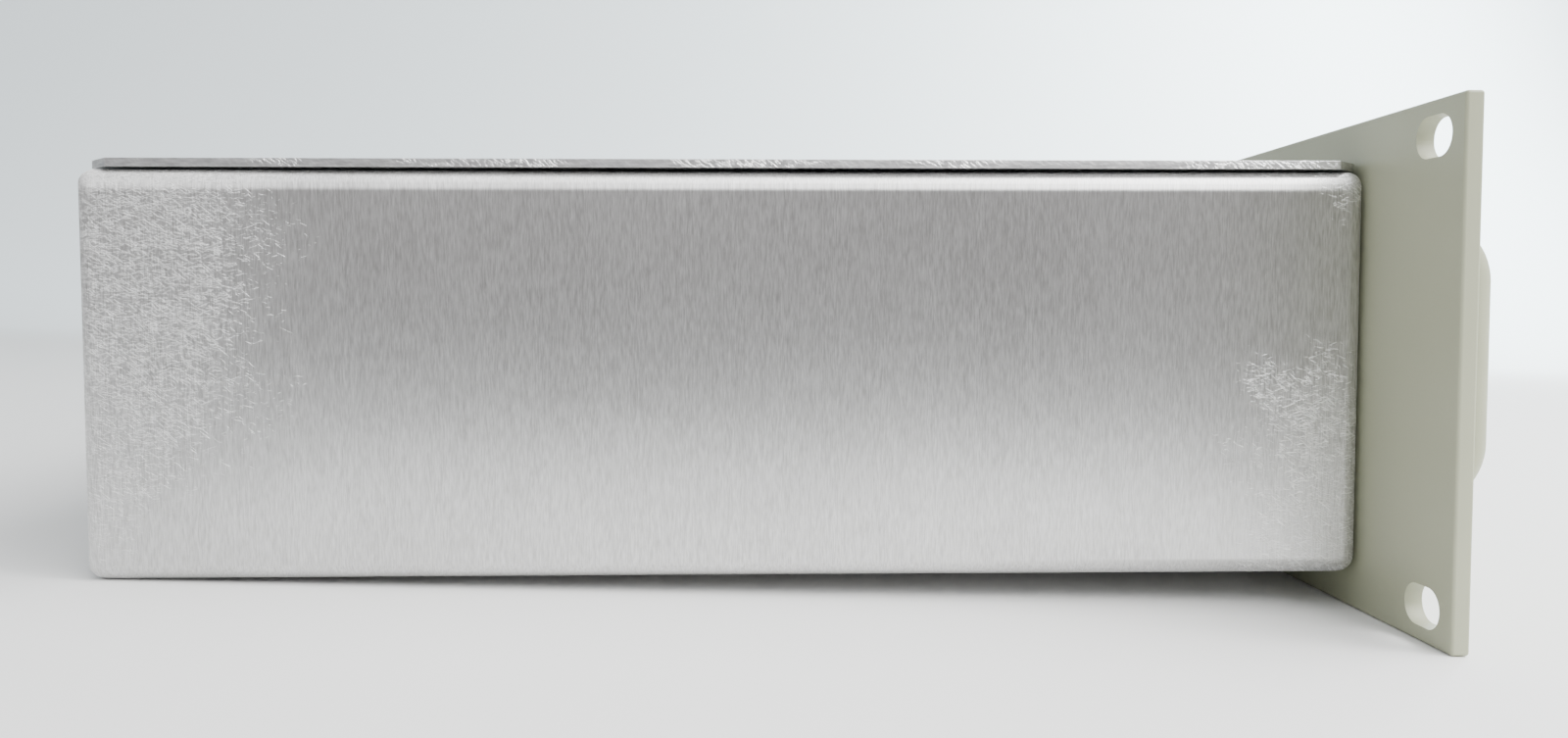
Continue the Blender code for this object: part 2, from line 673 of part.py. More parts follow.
def fuse_drawer(outer):
    """A drawer under the socket; the fuse lies across it near its inner end."""
    z = REAR_MIDDLE_Z - FUSE_SLOT_DROP
    lip = box("fuse_drawer", (0.0240, 0.0016, 0.0096), at(INLET_X, outer + GAP + 0.0008, z), BLACK)
    rounded(lip, 0.0005)
    first, last = outer - FUSE_SLOT[2] + 2 * GAP, outer + 0.001
    size = (FUSE_SLOT[0] - 2 * GAP, last - first, FUSE_SLOT[1] - 2 * GAP)
    joined(lip, box("drawer_body", size, at(INLET_X, (first + last) / 2, z)))
    fuse_depth = first + 0.0042
    cut(lip, box("drawer_well", (0.0208, 0.0062, 0.0060), at(INLET_X, fuse_depth, z + 0.0015)))
    length = Vector((0.0100, 0, 0))
    middle = at(INLET_X, fuse_depth, z + 0.0014)
    rod("fuse_link", 0.0025, middle - length, middle + length, GLASS, sides=16)


# ---------------------------------------------------------------- fan
def fan(screw_mesh):
    centre = at(FAN_X, 0, REAR_MIDDLE_Z)

    def y(depth):
        return centre + Vector((0, depth, 0))

    rear = FAN_FRONT + FAN_DEPTH
    ahead, behind = y(FAN_FRONT - 0.002), y(rear + 0.002)
    frame = box("fan_frame", (FAN_SIZE, FAN_DEPTH, FAN_SIZE), (ahead + behind) / 2, BLACK)
    rounded(frame, 0.0015)
    cut(frame, rod("fan_bore", FAN_BORE, ahead, behind, sides=36))
    for name, x, z in spread(FAN_SCREW_OFFSET, FAN_SCREW_OFFSET):
        corner = Vector((x, 0, z))
        cut(frame, rod(f"fan_hole_{name}", 0.0022, ahead + corner, behind + corner, sides=12))
        screw(f"fan_screw_{name}", screw_mesh, y(CASE_REAR + 0.0024) + corner, REARWARD)
    strut_size = (0.0035, 0.0024, 2 * FAN_BORE + 0.001)
    struts = []
    for turn in (45, 135):
        strut = box(f"fan_strut_{turn}", strut_size, y(FAN_FRONT + 0.0014))
        strut.rotation_euler.y = math.radians(turn)
        struts.append(strut)
    base = rod("fan_motor_base", 0.0145, y(FAN_FRONT + 0.0002), y(FAN_FRONT + 0.0028), sides=28)
    tube = rod("fan_bearing_tube", 0.0034, y(FAN_FRONT + 0.001), y(FAN_FRONT + 0.0145), sides=16)
    joined(frame, *struts, base, tube)
    cut(frame, rod("fan_bearing_bore", 0.00185, y(FAN_FRONT + 0.0015), y(rear), sides=16))
    rod("fan_shaft", 0.0015, y(FAN_FRONT + 0.002), y(rear - 0.0024), STEEL, sides=14)
    stator = [(0.0112, 0.0050), (0.0112, -0.0050), (0.0038, -0.0050), (0.0038, 0.0050)]
    turned("fan_stator", stator, y(FAN_FRONT + 0.0084), COPPER, towards=REARWARD, ring=True)
    fan_rotor(y)
    fan_guard(y)


def fan_rotor(y):
    """A cup-shaped hub with pitched blades; its closed end faces the rear wall."""
    cup_top = FAN_FRONT + FAN_DEPTH - 0.0012
    cup = [
        (0.0138, 0), (0.0142, -0.0006), (0.0142, -0.0150), (0.0128, -0.0150),
        (0.0128, -0.0016), (0.0018, -0.0016), (0.0018, 0),
    ]
    rotor = turned("fan_rotor", cup, y(cup_top), BLACK, towards=REARWARD, steps=28, ring=True)
    root, tip, chord, thickness = 0.0137, FAN_BORE - 0.001, 0.0155, 0.0011
    for index in range(FAN_BLADES):
        turn = Matrix.Rotation(2 * math.pi * index / FAN_BLADES, 4, "Y")
        pitch = Matrix.Rotation(FAN_PITCH, 4, "X")
        mesh = box_mesh(f"fan_blade_{index}", (tip - root, chord, thickness))
        mesh.transform(turn @ Matrix.Translation(((root + tip) / 2, 0, 0)) @ pitch)
        joined(rotor, placed(f"fan_blade_{index}", mesh, y(cup_top - 0.0078)))


def fan_guard(y):
    """Four wire rings on two crossed wires that end in screw eyes."""
    wire = GUARD_WIRE_RADIUS
    wire_depth = CASE_REAR + GAP + wire
    ring_depth = wire_depth + 1.5 * wire
    circle = [math.radians(90 - 60 * step) for step in range(6)]
    rings = []
    for index, radius in enumerate(FAN_GUARD_RADII):
        profile = [(radius + wire * math.cos(a), wire * math.sin(a)) for a in circle]
        name, finish = (f"guard_ring_{index}", None) if index else ("fan_guard", STEEL)
        rings.append(turned(name, profile, y(ring_depth), finish, REARWARD, steps=24, ring=True))
    guard = joined(*rings)
    reach = FAN_SCREW_OFFSET * math.sqrt(2) - 0.001
    for turn in (45, 135):
        along = Vector((math.cos(math.radians(turn)), 0, math.sin(math.radians(turn)))) * reach
        first, last = y(wire_depth) - along, y(wire_depth) + along
        joined(guard, rod(f"guard_wire_{turn}", wire, first, last, sides=8))
    for name, x, z in spread(FAN_SCREW_OFFSET, FAN_SCREW_OFFSET):
        corner = Vector((x, 0, z))
        first, last = y(CASE_REAR + GAP) + corner, y(CASE_REAR + 0.0019) + corner
        joined(guard, rod(f"guard_eye_{name}", 0.0036, first, last, sides=16))
    for name, x, z in spread(FAN_SCREW_OFFSET, FAN_SCREW_OFFSET):
        corner = Vector((x, 0, z))
        first, last = y(CASE_REAR - 0.002) + corner, y(CASE_REAR + 0.004) + corner
        cut(guard, rod(f"guard_hole_{name}", 0.0022, first, last, sides=12))


# ---------------------------------------------------------------- signal connector
def d_outline(width, height):
    """The connector's shape: narrower at its lower side, with small corner cuts."""
    slant = height * math.tan(math.radians(10))
    clip = 0.0008
    corners = [
        (width / 2, height / 2), (-width / 2, height / 2),
        (slant - width / 2, -height / 2), (width / 2 - slant, -height / 2),
    ]
    points = []
    for index, corner in enumerate(corners):
        corner = Vector(corner)
        for neighbour in (corners[index - 1], corners[(index + 1) % 4]):
            points.append(corner + (Vector(neighbour) - corner).normalized() * clip)
    return points


def signal_connector():
    flange_rear = REAR_INSIDE - GAP
    flange_front = flange_rear - CONNECTOR_SHEET
    tip = CASE_REAR + REAR_REACH
    centre = at(CONNECTOR_X, 0, REAR_MIDDLE_Z)
    flange_middle = centre + Vector((0, (flange_front + flange_rear) / 2, 0))
    shell = box("connector_shell", (0.053, CONNECTOR_SHEET, 0.0125), flange_middle, STEEL)
    rounded(shell, 0.0003, segments=1)
    length = tip - flange_front - 0.0002
    sleeve_place = centre + Vector((0, tip - length / 2, 0))
    sleeve = slab("connector_sleeve", d_outline(0.0391, 0.0085), length, sleeve_place, REARWARD)
    hollow_place = centre + Vector((0, tip - 0.010, 0))
    hollow = slab("connector_hollow", d_outline(0.0381, 0.0075), 0.03, hollow_place, REARWARD)
    joined(shell, sleeve)
    cut(shell, hollow)
    insert_length = 0.0150
    insert_place = centre + Vector((0, tip - 0.0004 - insert_length / 2, 0))
    outline = d_outline(0.0374, 0.0068)
    insert = slab("connector_insert", outline, insert_length, insert_place, REARWARD, BLACK)
    block_place = centre + Vector((0, flange_front - GAP - INSERT_BLOCK[1] / 2, 0))
    joined(insert, box("insert_block", INSERT_BLOCK, block_place))
    post = [(0, 0.005), (0.0027, 0.005), (0.0027, 0), (0.0015, 0), (0.0015, -0.0075), (0, -0.0075)]
    for side, x in (("left", -CONNECTOR_SCREW_X), ("right", CONNECTOR_SCREW_X)):
        x += CONNECTOR_X
        face = at(x, CASE_REAR + GAP, REAR_MIDDLE_Z)
        hole = (x, REAR_MIDDLE_Z, flange_front - 0.003, flange_rear + 0.003)
        cut(shell, through(f"shell_screw_hole_{side}", SCREW_HOLE_RADIUS, *hole, sides=12))
        jack = turned(f"jackscrew_{side}", post, face, STEEL, towards=REARWARD, steps=6)
        start, end = face + Vector((0, 0.001, 0)), face + Vector((0, 0.006, 0))
        cut(jack, rod(f"jack_socket_{side}", 0.0013, start, end, sides=10))


# ---------------------------------------------------------------- power supply and main board
def power_supply():
    centre = at(SUPPLY_X, SUPPLY_MIDDLE, FLOOR_Z)
    width, depth = SUPPLY_SIZE
    wall_height, post_height, post_inset = 0.040, 0.005, 0.009
    middle = centre + Vector((0, 0, wall_height / 2))
    bracket = rounded(box("supply_bracket", (width, depth, wall_height), middle, BRUSHED), 0.001)
    room = (width - 2 * BRACKET_SHEET, depth + 0.01, wall_height)
    cut(bracket, box("bracket_room", room, middle + Vector((0, 0, BRACKET_SHEET))))
    for name, x, y in spread(width / 2 - post_inset, depth / 2 - post_inset):
        foot = centre + Vector((x, y, BRACKET_SHEET / 2))
        head = centre + Vector((x, y, BRACKET_SHEET + post_height))
        joined(bracket, rod(f"bracket_post_{name}", 0.003, foot, head, sides=12))
    board_z = BRACKET_SHEET + post_height + GAP
    board_size = (width - 2 * BRACKET_SHEET - 0.002, depth - 0.004, BOARD_THICKNESS)
    board_place = centre + Vector((0, 0, board_z + BOARD_THICKNESS / 2))
    box("supply_board", board_size, board_place, LAMINATE)
    top = board_z + BOARD_THICKNESS + GAP
    core_size = (0.034, 0.030, 0.026)
    core_place = centre + Vector((0.004, -0.004, top + core_size[2] / 2))
    rounded(box("supply_transformer", core_size, core_place, FERRITE), 0.0012)
    can_foot = centre + Vector((-0.028, -0.038, top))
    can = [
        (0, 0.0320), (0.0100, 0.0320), (0.0110, 0.0312), (0.0110, 0.0026), (0.0104, 0.0018),
        (0.0110, 0.0010), (0.0106, 0), (0, 0),
    ]
    turned("supply_capacitor", can, can_foot, SLEEVE, towards=UPWARD)
    supply_heat_sink(centre + Vector((0.036, 0.010, top)))


def supply_heat_sink(foot):
    """A finned extrusion along Y, its fins facing -X."""
    width, depth, height = 0.016, 0.070, 0.028
    sink = box("supply_heat_sink", (width, depth, height), foot + Vector((0, 0, height / 2)), BRUSHED)
    grooves, fin_pitch = 5, 0.0052
    for index in range(grooves):
        z = (index - (grooves - 1) / 2) * fin_pitch + height / 2
        size = (width, depth + 0.01, 0.0034)
        cut(sink, box(f"sink_groove_{index}", size, foot + Vector((-width / 4, 0, z))))


def main_board():
    width, depth = BOARD_SIZE
    bottom = FLOOR_Z + STANDOFF_HEIGHT + GAP
    centre = at(BOARD_X, BOARD_MIDDLE, bottom + BOARD_THICKNESS / 2)
    board = box("main_board", (width, depth, BOARD_THICKNESS), centre, LAMINATE)
    post = [(0, STANDOFF_HEIGHT), (0.003, STANDOFF_HEIGHT), (0.003, 0), (0, 0)]
    for name, x, y in spread(width / 2 - STANDOFF_INSET, depth / 2 - STANDOFF_INSET):
        corner = centre + Vector((x, y, 0))
        thickness = Vector((0, 0, BOARD_THICKNESS))
        cut(board, rod(f"board_hole_{name}", 0.0017, corner - thickness, corner + thickness, sides=12))
        foot = at(BOARD_X + x, BOARD_MIDDLE + y, FLOOR_Z)
        turned(f"board_standoff_{name}", post, foot, BRASS, towards=UPWARD, steps=6)


def inner_leads():
    """The mains, low-voltage and fan leads, each along its clipped route as (x, depth, z)."""
    mains = [
        (SWITCH_X, 0.0175, PANEL_MIDDLE_Z), (0.141, 0.028, 0.0420), (0.150, 0.042, 0.028),
        (0.166, 0.062, 0.0150), (0.176, 0.095, 0.0125), (0.176, 0.135, 0.0125),
        (0.173, 0.165, 0.0150), (0.164, 0.184, 0.028), (INLET_X, 0.191, 0.0400),
        (INLET_X, 0.1965, 0.0420),
    ]
    low_voltage = [
        (0.066, 0.060, 0.0198), (0.064, 0.044, 0.0205), (0.040, 0.028, 0.0190),
        (0.004, 0.026, 0.0170), (-0.016, 0.034, 0.0215), (-0.028, 0.048, 0.0245),
        (-0.042, 0.062, 0.0234),
    ]
    fan_feed = [
        (0.0485, 0.212, 0.020), (0.040, 0.208, 0.0180), (0.018, 0.200, 0.0130),
        (-0.006, 0.188, 0.0150), (-0.020, 0.178, 0.0230), (-0.030, 0.168, 0.0252),
        (-0.040, 0.158, 0.0228),
    ]
    lead("mains_lead", mains, 0.0024, LEAD)
    lead("supply_lead", low_voltage, 0.0018, LEAD)
    lead("fan_lead", fan_feed, 0.0012, LEAD)


def signal_ribbon():
    """A flat cable from the rear of the connector to the main board, an S when seen from the side."""
    board_top = FLOOR_Z + STANDOFF_HEIGHT + GAP + BOARD_THICKNESS
    thickness = 0.001
    connector_rear = REAR_INSIDE - GAP - CONNECTOR_SHEET - GAP - INSERT_BLOCK[1]
    route = [
        (connector_rear - GAP, REAR_MIDDLE_Z), (0.206, 0.0425), (0.196, 0.036), (0.186, 0.0285),
        (0.176, 0.0245), (0.166, board_top + GAP + thickness / 2),
    ]
    points = smooth_path([at(0, depth, z) for depth, z in route], per_span=3)
    curve = outline_curve("signal_ribbon", [(p.y, p.z) for p in points], 0.016, fill=False)
    mesh = evaluated_mesh(placed("signal_ribbon_path", curve, Vector()))
    ribbon = placed("signal_ribbon", mesh, Vector((CONNECTOR_X, 0, 0)), RIBBON, SIDEWARD)
    sheet = ribbon.modifiers.new("thickness", "SOLIDIFY")
    sheet.thickness = thickness
    sheet.offset = 0


front_panel()
case_tub()
handles(pan_head_mesh("handle_screw", 0.0039, 0.0026, 0.0019, 0.014))
top_cover(countersunk_mesh("cover_screw", 0.0029, SHANK_RADIUS, 0.006))
panel_screw_mesh = countersunk_mesh("panel_screw", 0.0029, SHANK_RADIUS, 0.008)
for place_name, place_x, place_z in spread(PANEL_SCREW_X, PANEL_SCREW_SPACING / 2):
    head = at(place_x, -PANEL_THICKNESS, PANEL_MIDDLE_Z + place_z)
    screw(f"panel_screw_{place_name}", panel_screw_mesh, head, FORWARD)
power_switch()
lamp(*LAMP_PLACES[0], GREEN_LENS)
lamp(*LAMP_PLACES[1], AMBER_LENS)
mains_inlet(pan_head_mesh("inlet_screw", 0.0028, 0.0018, SHANK_RADIUS, 0.009))
fan(pan_head_mesh("fan_screw", 0.0036, 0.0022, 0.0018, 0.016))
signal_connector()
power_supply()
main_board()
inner_leads()
signal_ribbon()
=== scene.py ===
"""Looks for the rack-mount equipment chassis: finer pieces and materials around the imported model.

Every length is in metres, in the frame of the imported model: +Z up, the front panel facing -Y.
"""

import json
import math

import bmesh
import bpy
from mathutils import Matrix, Vector


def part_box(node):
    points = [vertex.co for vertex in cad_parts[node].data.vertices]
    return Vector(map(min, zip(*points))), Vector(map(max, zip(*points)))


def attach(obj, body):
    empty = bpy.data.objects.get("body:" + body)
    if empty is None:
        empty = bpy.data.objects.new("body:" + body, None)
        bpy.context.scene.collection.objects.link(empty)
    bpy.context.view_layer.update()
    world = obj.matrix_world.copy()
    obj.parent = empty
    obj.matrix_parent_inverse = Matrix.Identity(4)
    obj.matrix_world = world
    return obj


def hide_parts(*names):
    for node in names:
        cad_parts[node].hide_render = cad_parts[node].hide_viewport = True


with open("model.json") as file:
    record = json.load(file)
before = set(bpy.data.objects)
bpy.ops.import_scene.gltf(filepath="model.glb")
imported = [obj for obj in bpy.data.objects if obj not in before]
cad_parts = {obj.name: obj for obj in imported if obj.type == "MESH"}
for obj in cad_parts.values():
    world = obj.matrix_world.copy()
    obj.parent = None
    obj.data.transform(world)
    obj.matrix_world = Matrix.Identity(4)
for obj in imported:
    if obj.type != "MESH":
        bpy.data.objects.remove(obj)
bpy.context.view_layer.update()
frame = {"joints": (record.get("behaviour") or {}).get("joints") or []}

MM = 0.001
UP = Vector((0, 0, 1))
REAR, FRONT = Vector((0, 1, 0)), Vector((0, -1, 0))

panel_low, panel_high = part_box("front_panel")
tub_low, tub_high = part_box("case_tub")
cover_low, cover_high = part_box("top_cover")
PANEL_BACK = panel_high.y
PANEL_FACE = panel_low.y
PANEL_Z = (panel_low.z + panel_high.z) / 2
REAR_WALL = tub_high.y
WALL = 2 * MM
SIDES = ("left", "right")
CORNERS = [f"{side}_{level}" for side in SIDES for level in ("lower", "upper")]
LAMPS = ("power_lamp", "status_lamp")


def mm(x, y, z):
    return Vector((x * MM, y * MM, z * MM))


def mm_points(*points):
    return [(a * MM, b * MM) for a, b in points]


# ---------------------------------------------------------------- materials
class Shader:
    """A Principled material with small helpers for procedural inputs in the object's own metres."""

    def __init__(self, name, colour, roughness, metallic=0.0, **direct):
        self.material = bpy.data.materials.new(name)
        self.material.use_nodes = True
        self.tree = self.material.node_tree
        self.principled = self.tree.nodes["Principled BSDF"]
        self.set("Base Color", (*colour, 1))
        self.set("Roughness", roughness)
        self.set("Metallic", metallic)
        for socket, value in direct.items():
            self.set(socket.replace("_", " "), value)
        self.coords = self.tree.nodes.new("ShaderNodeTexCoord").outputs["Object"]
        self.height = None

    def set(self, socket, value):
        self.principled.inputs[socket].default_value = value

    def node(self, kind, **settings):
        made = self.tree.nodes.new("ShaderNode" + kind)
        for key, value in settings.items():
            setattr(made, key, value)
        return made

    def link(self, source, target):
        if isinstance(source, (int, float)):
            target.default_value = source
        else:
            self.tree.links.new(source, target)

    def math(self, operation, a, b=0.0, clamp=False):
        made = self.node("Math", operation=operation, use_clamp=clamp)
        self.link(a, made.inputs[0])
        self.link(b, made.inputs[1])
        return made.outputs[0]

    def axis(self, letter, coords=None):
        made = self.node("SeparateXYZ")
        self.link(coords or self.coords, made.inputs[0])
        return made.outputs[letter]

    def mapped(self, size, turn=(0, 0, 0), shift=(0, 0, 0)):
        """Coordinates in cells of the given size in metres along each axis, turned and shifted."""
        made = self.node("Mapping", vector_type="TEXTURE")
        made.inputs["Scale"].default_value = size
        made.inputs["Rotation"].default_value = turn
        made.inputs["Location"].default_value = shift
        self.link(self.coords, made.inputs["Vector"])
        return made.outputs[0]

    def noise(self, size, detail=2.0, turn=(0, 0, 0), distortion=0.0, roughness=0.5):
        """Noise whose features are size metres across, either one number or one for each axis."""
        size = (size,) * 3 if isinstance(size, (int, float)) else size
        made = self.node("TexNoise")
        self.link(self.mapped(size, turn), made.inputs["Vector"])
        made.inputs["Scale"].default_value = 1.0
        made.inputs["Detail"].default_value = detail
        made.inputs["Roughness"].default_value = roughness
        made.inputs["Distortion"].default_value = distortion
        return made.outputs["Fac"]

    def ramp(self, value, low, high, to_low=0.0, to_high=1.0, smooth=False):
        made = self.node("MapRange", interpolation_type="SMOOTHSTEP" if smooth else "LINEAR")
        self.link(value, made.inputs["Value"])
        for key, number in zip(("From Min", "From Max", "To Min", "To Max"), (low, high, to_low, to_high)):
            made.inputs[key].default_value = number
        return made.outputs["Result"]

    def mix(self, factor, a, b):
        """A mix of two colours; either is an RGB triple or a socket."""
        made = self.node("Mix", data_type="RGBA")
        self.link(factor, made.inputs["Factor"])
        for socket, colour in ((made.inputs[6], a), (made.inputs[7], b)):
            if isinstance(colour, (tuple, list)):
                socket.default_value = (*colour, 1)
            else:
                self.tree.links.new(colour, socket)
        return made.outputs[2]

    def colour(self, source):
        self.link(source, self.principled.inputs["Base Color"])

    def roughness(self, source):
        self.link(source, self.principled.inputs["Roughness"])

    def bump(self, height, distance, strength=1.0):
        """Adds a layer of bump whose full height is distance metres."""
        made = self.node("Bump")
        made.inputs["Strength"].default_value = strength
        made.inputs["Distance"].default_value = distance
        self.link(height, made.inputs["Height"])
        if self.height is not None:
            self.tree.links.new(self.height, made.inputs["Normal"])
        self.height = made.outputs["Normal"]
        self.tree.links.new(self.height, self.principled.inputs["Normal"])


def strokes(s, turns, size, spread, low, high):
    """Short light strokes in several directions, which thicken where spread nears 1; turns in degrees."""
    total = None
    for index, turn in enumerate(turns):
        across = [length * (1 + 0.07 * index) for length in size]
        noise = s.noise(across, 1.0, (math.radians(turn), 0, 0), distortion=0.5)
        stroke = s.ramp(s.math("ADD", noise, s.math("MULTIPLY", spread, 0.16)), low, high)
        stroke = s.math("MULTIPLY", stroke, s.ramp(spread, 0.0, 0.3))
        total = stroke if total is None else s.math("MAXIMUM", total, stroke)
    return total


def rubbed_areas(s):
    """Where the side walls were sanded by hand: the rear end, and low down and at the top in front."""
    y, z = s.axis("Y"), s.axis("Z")
    ragged = s.ramp(s.noise(9 * MM, 4.0), 0.3, 0.7, -6 * MM, 6 * MM)
    reach = s.ramp(z, tub_low.z, tub_low.z + 36 * MM, 12 * MM, 38 * MM, smooth=True)
    inward = s.math("SUBTRACT", s.math("ADD", s.math("ADD", y, ragged), reach), REAR_WALL)
    rear = s.ramp(inward, -9 * MM, 20 * MM, smooth=True)
    inward = s.math("SUBTRACT", s.math("ADD", y, ragged), tub_low.y)
    near = s.ramp(inward, 13 * MM, 30 * MM, 1.0, 0.0, smooth=True)
    level = s.math("ADD", z, ragged)
    below = s.ramp(level, tub_low.z + 33 * MM, tub_low.z + 46 * MM, 1.0, 0.0, smooth=True)
    above = s.ramp(level, tub_high.z - 7 * MM, tub_high.z, smooth=True)
    return rear, s.math("MULTIPLY", near, s.math("MAXIMUM", below, above))


def brushed_aluminium():
    """Brushed upright on the side walls, with short overlapping grain, and hand-sanded at its ends."""
    s = Shader("brushed_sheet", (0.66, 0.66, 0.655), 0.38, 1.0, Anisotropic=0.88)
    tangent = s.node("Tangent", direction_type="RADIAL", axis="Z")
    s.link(tangent.outputs[0], s.principled.inputs["Tangent"])
    fine = s.noise((0.26 * MM, 0.26 * MM, 2.4 * MM), 3.0, roughness=0.6)
    broad = s.noise((0.8 * MM, 0.8 * MM, 9 * MM), 2.0)
    cloud = s.noise(33 * MM, 3.0)
    tone = s.math("ADD", s.ramp(fine, 0.32, 0.68, -0.25, 0.25), s.ramp(broad, 0.35, 0.65, -0.05, 0.05))
    tone = s.math("ADD", tone, s.ramp(cloud, 0.35, 0.65, -0.05, 0.05))
    rear, near = rubbed_areas(s)
    rubbed = s.math("MAXIMUM", rear, near)
    marks = strokes(s, (-4, 11, 25, -19, 40), (1.0, 2.0 * MM, 0.19 * MM), rubbed, 0.79, 0.865)
    # The sanded strokes lighten the colour as scratch wear with painted glints; the sanded rear end is also painted a
    # little lighter, as painted light.
    glint = s.math("ADD", s.ramp(rear, 0.3, 1.0, 0.52, 0.30), s.math("MULTIPLY", near, 0.34))
    tone = s.math("ADD", tone, s.math("MULTIPLY", marks, glint))
    tone = s.math("ADD", tone, s.math("MULTIPLY", rear, 0.03))
    s.colour(s.mix(s.math("ADD", tone, 0.38, clamp=True), (0.43, 0.425, 0.42), (0.94, 0.94, 0.935)))
    s.roughness(s.math("ADD", s.ramp(fine, 0.3, 0.7, 0.33, 0.41), s.math("MULTIPLY", rear, 0.12)))
    s.bump(s.ramp(s.axis("Z"), tub_high.z - 3.9 * MM, tub_high.z - 1.5 * MM, 1.0, 0.0, smooth=True), 0.38 * MM)
    s.bump(fine, 0.010 * MM, 0.6)
    s.bump(marks, 0.03 * MM, 0.8)
    return s.material


def cover_metal(name, filed_turn=None):
    """Brushed along the sheet on its faces; its sheared edges show slanting file strokes, lightened in patches with
    painted glints.
    """
    s = Shader(name, (0.66, 0.66, 0.655), 0.36, 1.0)
    fine = s.noise((9 * MM, 0.4 * MM, 0.4 * MM), 3.0, roughness=0.6)
    tone = s.ramp(fine, 0.32, 0.68, -0.2, 0.2)
    if filed_turn is not None:
        turn = (math.radians(filed_turn), 0, 0)
        filed = s.ramp(s.noise((0.5 * MM, 1.6 * MM, 0.4 * MM), 2.0, turn), 0.50, 0.60)
        burr_and_glint = s.ramp(s.noise((24 * MM, 24 * MM, 9 * MM), 3.0), 0.47, 0.58, 0.1, 0.8)
        tone = s.ramp(s.noise((3 * MM, 3 * MM, 0.5 * MM), 2.0), 0.3, 0.7, -0.38, 0.04)
        # The file strokes lighten the edge's colour in patches: file marks with painted glints on them.
        tone = s.math("ADD", tone, s.math("MULTIPLY", filed, burr_and_glint))
        s.bump(s.math("MULTIPLY", filed, burr_and_glint), 0.16 * MM)
    s.colour(s.mix(s.math("ADD", tone, 0.4, clamp=True), (0.42, 0.42, 0.425), (0.95, 0.95, 0.94)))
    s.roughness(s.ramp(fine, 0.3, 0.7, 0.30, 0.42))
    s.bump(fine, 0.008 * MM, 0.5)
    return s.material


def panel_paint():
    s = Shader("putty_paint", (0.31, 0.318, 0.222), 0.46, Specular_IOR_Level=0.4)
    speck = s.noise(0.38 * MM, 2.0)
    s.colour(s.mix(s.ramp(s.noise(38 * MM, 3.0), 0.3, 0.7), (0.322, 0.333, 0.234), (0.350, 0.361, 0.260)))
    s.roughness(s.ramp(speck, 0.3, 0.7, 0.40, 0.52))
    s.bump(speck, 0.02 * MM, 0.5)
    s.bump(s.noise(2.4 * MM, 2.0), 0.05 * MM, 0.35)
    return s.material


def plated(name, dark, light, roughness):
    """Bright plating with small clouds."""
    s = Shader(name, light, roughness, 1.0)
    s.colour(s.mix(s.noise(1.1 * MM, 3.0), dark, light))
    s.roughness(s.ramp(s.noise(0.6 * MM, 2.0), 0.3, 0.7, roughness - 0.08, roughness + 0.1))
    return s.material


def moulded(name, colour, roughness=0.45, grain=0.025, **direct):
    """Injection-moulded plastic with a fine spark-eroded texture."""
    s = Shader(name, colour, roughness, **direct)
    texture = s.noise(0.3 * MM, 3.0)
    s.roughness(s.ramp(texture, 0.3, 0.7, roughness - 0.06, roughness + 0.08))
    s.colour(s.mix(s.noise(8 * MM, 2.0), [c * 0.88 for c in colour], [min(1, c * 1.1) for c in colour]))
    s.bump(texture, grain * MM, 0.5)
    return s.material


def paper():
    """The pale sheet that the chassis stands on; it ends a little behind the camera."""
    s = Shader("pale_paper", (0.82, 0.82, 0.815), 0.7, Specular_IOR_Level=0.2)
    x, y = s.axis("X"), s.axis("Y")
    # The floor is painted darker towards +Y, behind the case: painted shade where less light reaches it.
    floor = s.mix(s.ramp(y, 0.02, 0.42, smooth=True), (0.85, 0.852, 0.845), (0.60, 0.605, 0.60))
    wall = s.mix(s.ramp(x, 0.6, 1.5, smooth=True), floor, (0.87, 0.93, 0.95))
    away = s.math("SUBTRACT", x, s.math("MULTIPLY", s.math("ABSOLUTE", s.math("SUBTRACT", y, 0.12)), 0.22))
    s.colour(s.mix(s.ramp(away, -0.58, -0.33, 1.0, 0.0, smooth=True), wall, (0.20, 0.20, 0.20)))
    s.bump(s.noise(110 * MM, 3.0, distortion=0.6), 2.0 * MM, 0.30)
    s.bump(s.noise(4 * MM, 2.0), 0.1 * MM, 0.3)
    return s.material


def mill_aluminium():
    """Rolled sheet with faint lines and small dents in its shine."""
    s = Shader("mill_sheet", (0.62, 0.62, 0.62), 0.4, 1.0)
    lines = s.noise((0.5 * MM, 14 * MM, 0.5 * MM), 3.0)
    s.colour(s.mix(s.ramp(lines, 0.3, 0.7), (0.50, 0.50, 0.505), (0.70, 0.70, 0.70)))
    s.roughness(s.ramp(s.noise(6 * MM, 3.0), 0.3, 0.7, 0.30, 0.48))
    s.bump(lines, 0.01 * MM, 0.5)
    return s.material


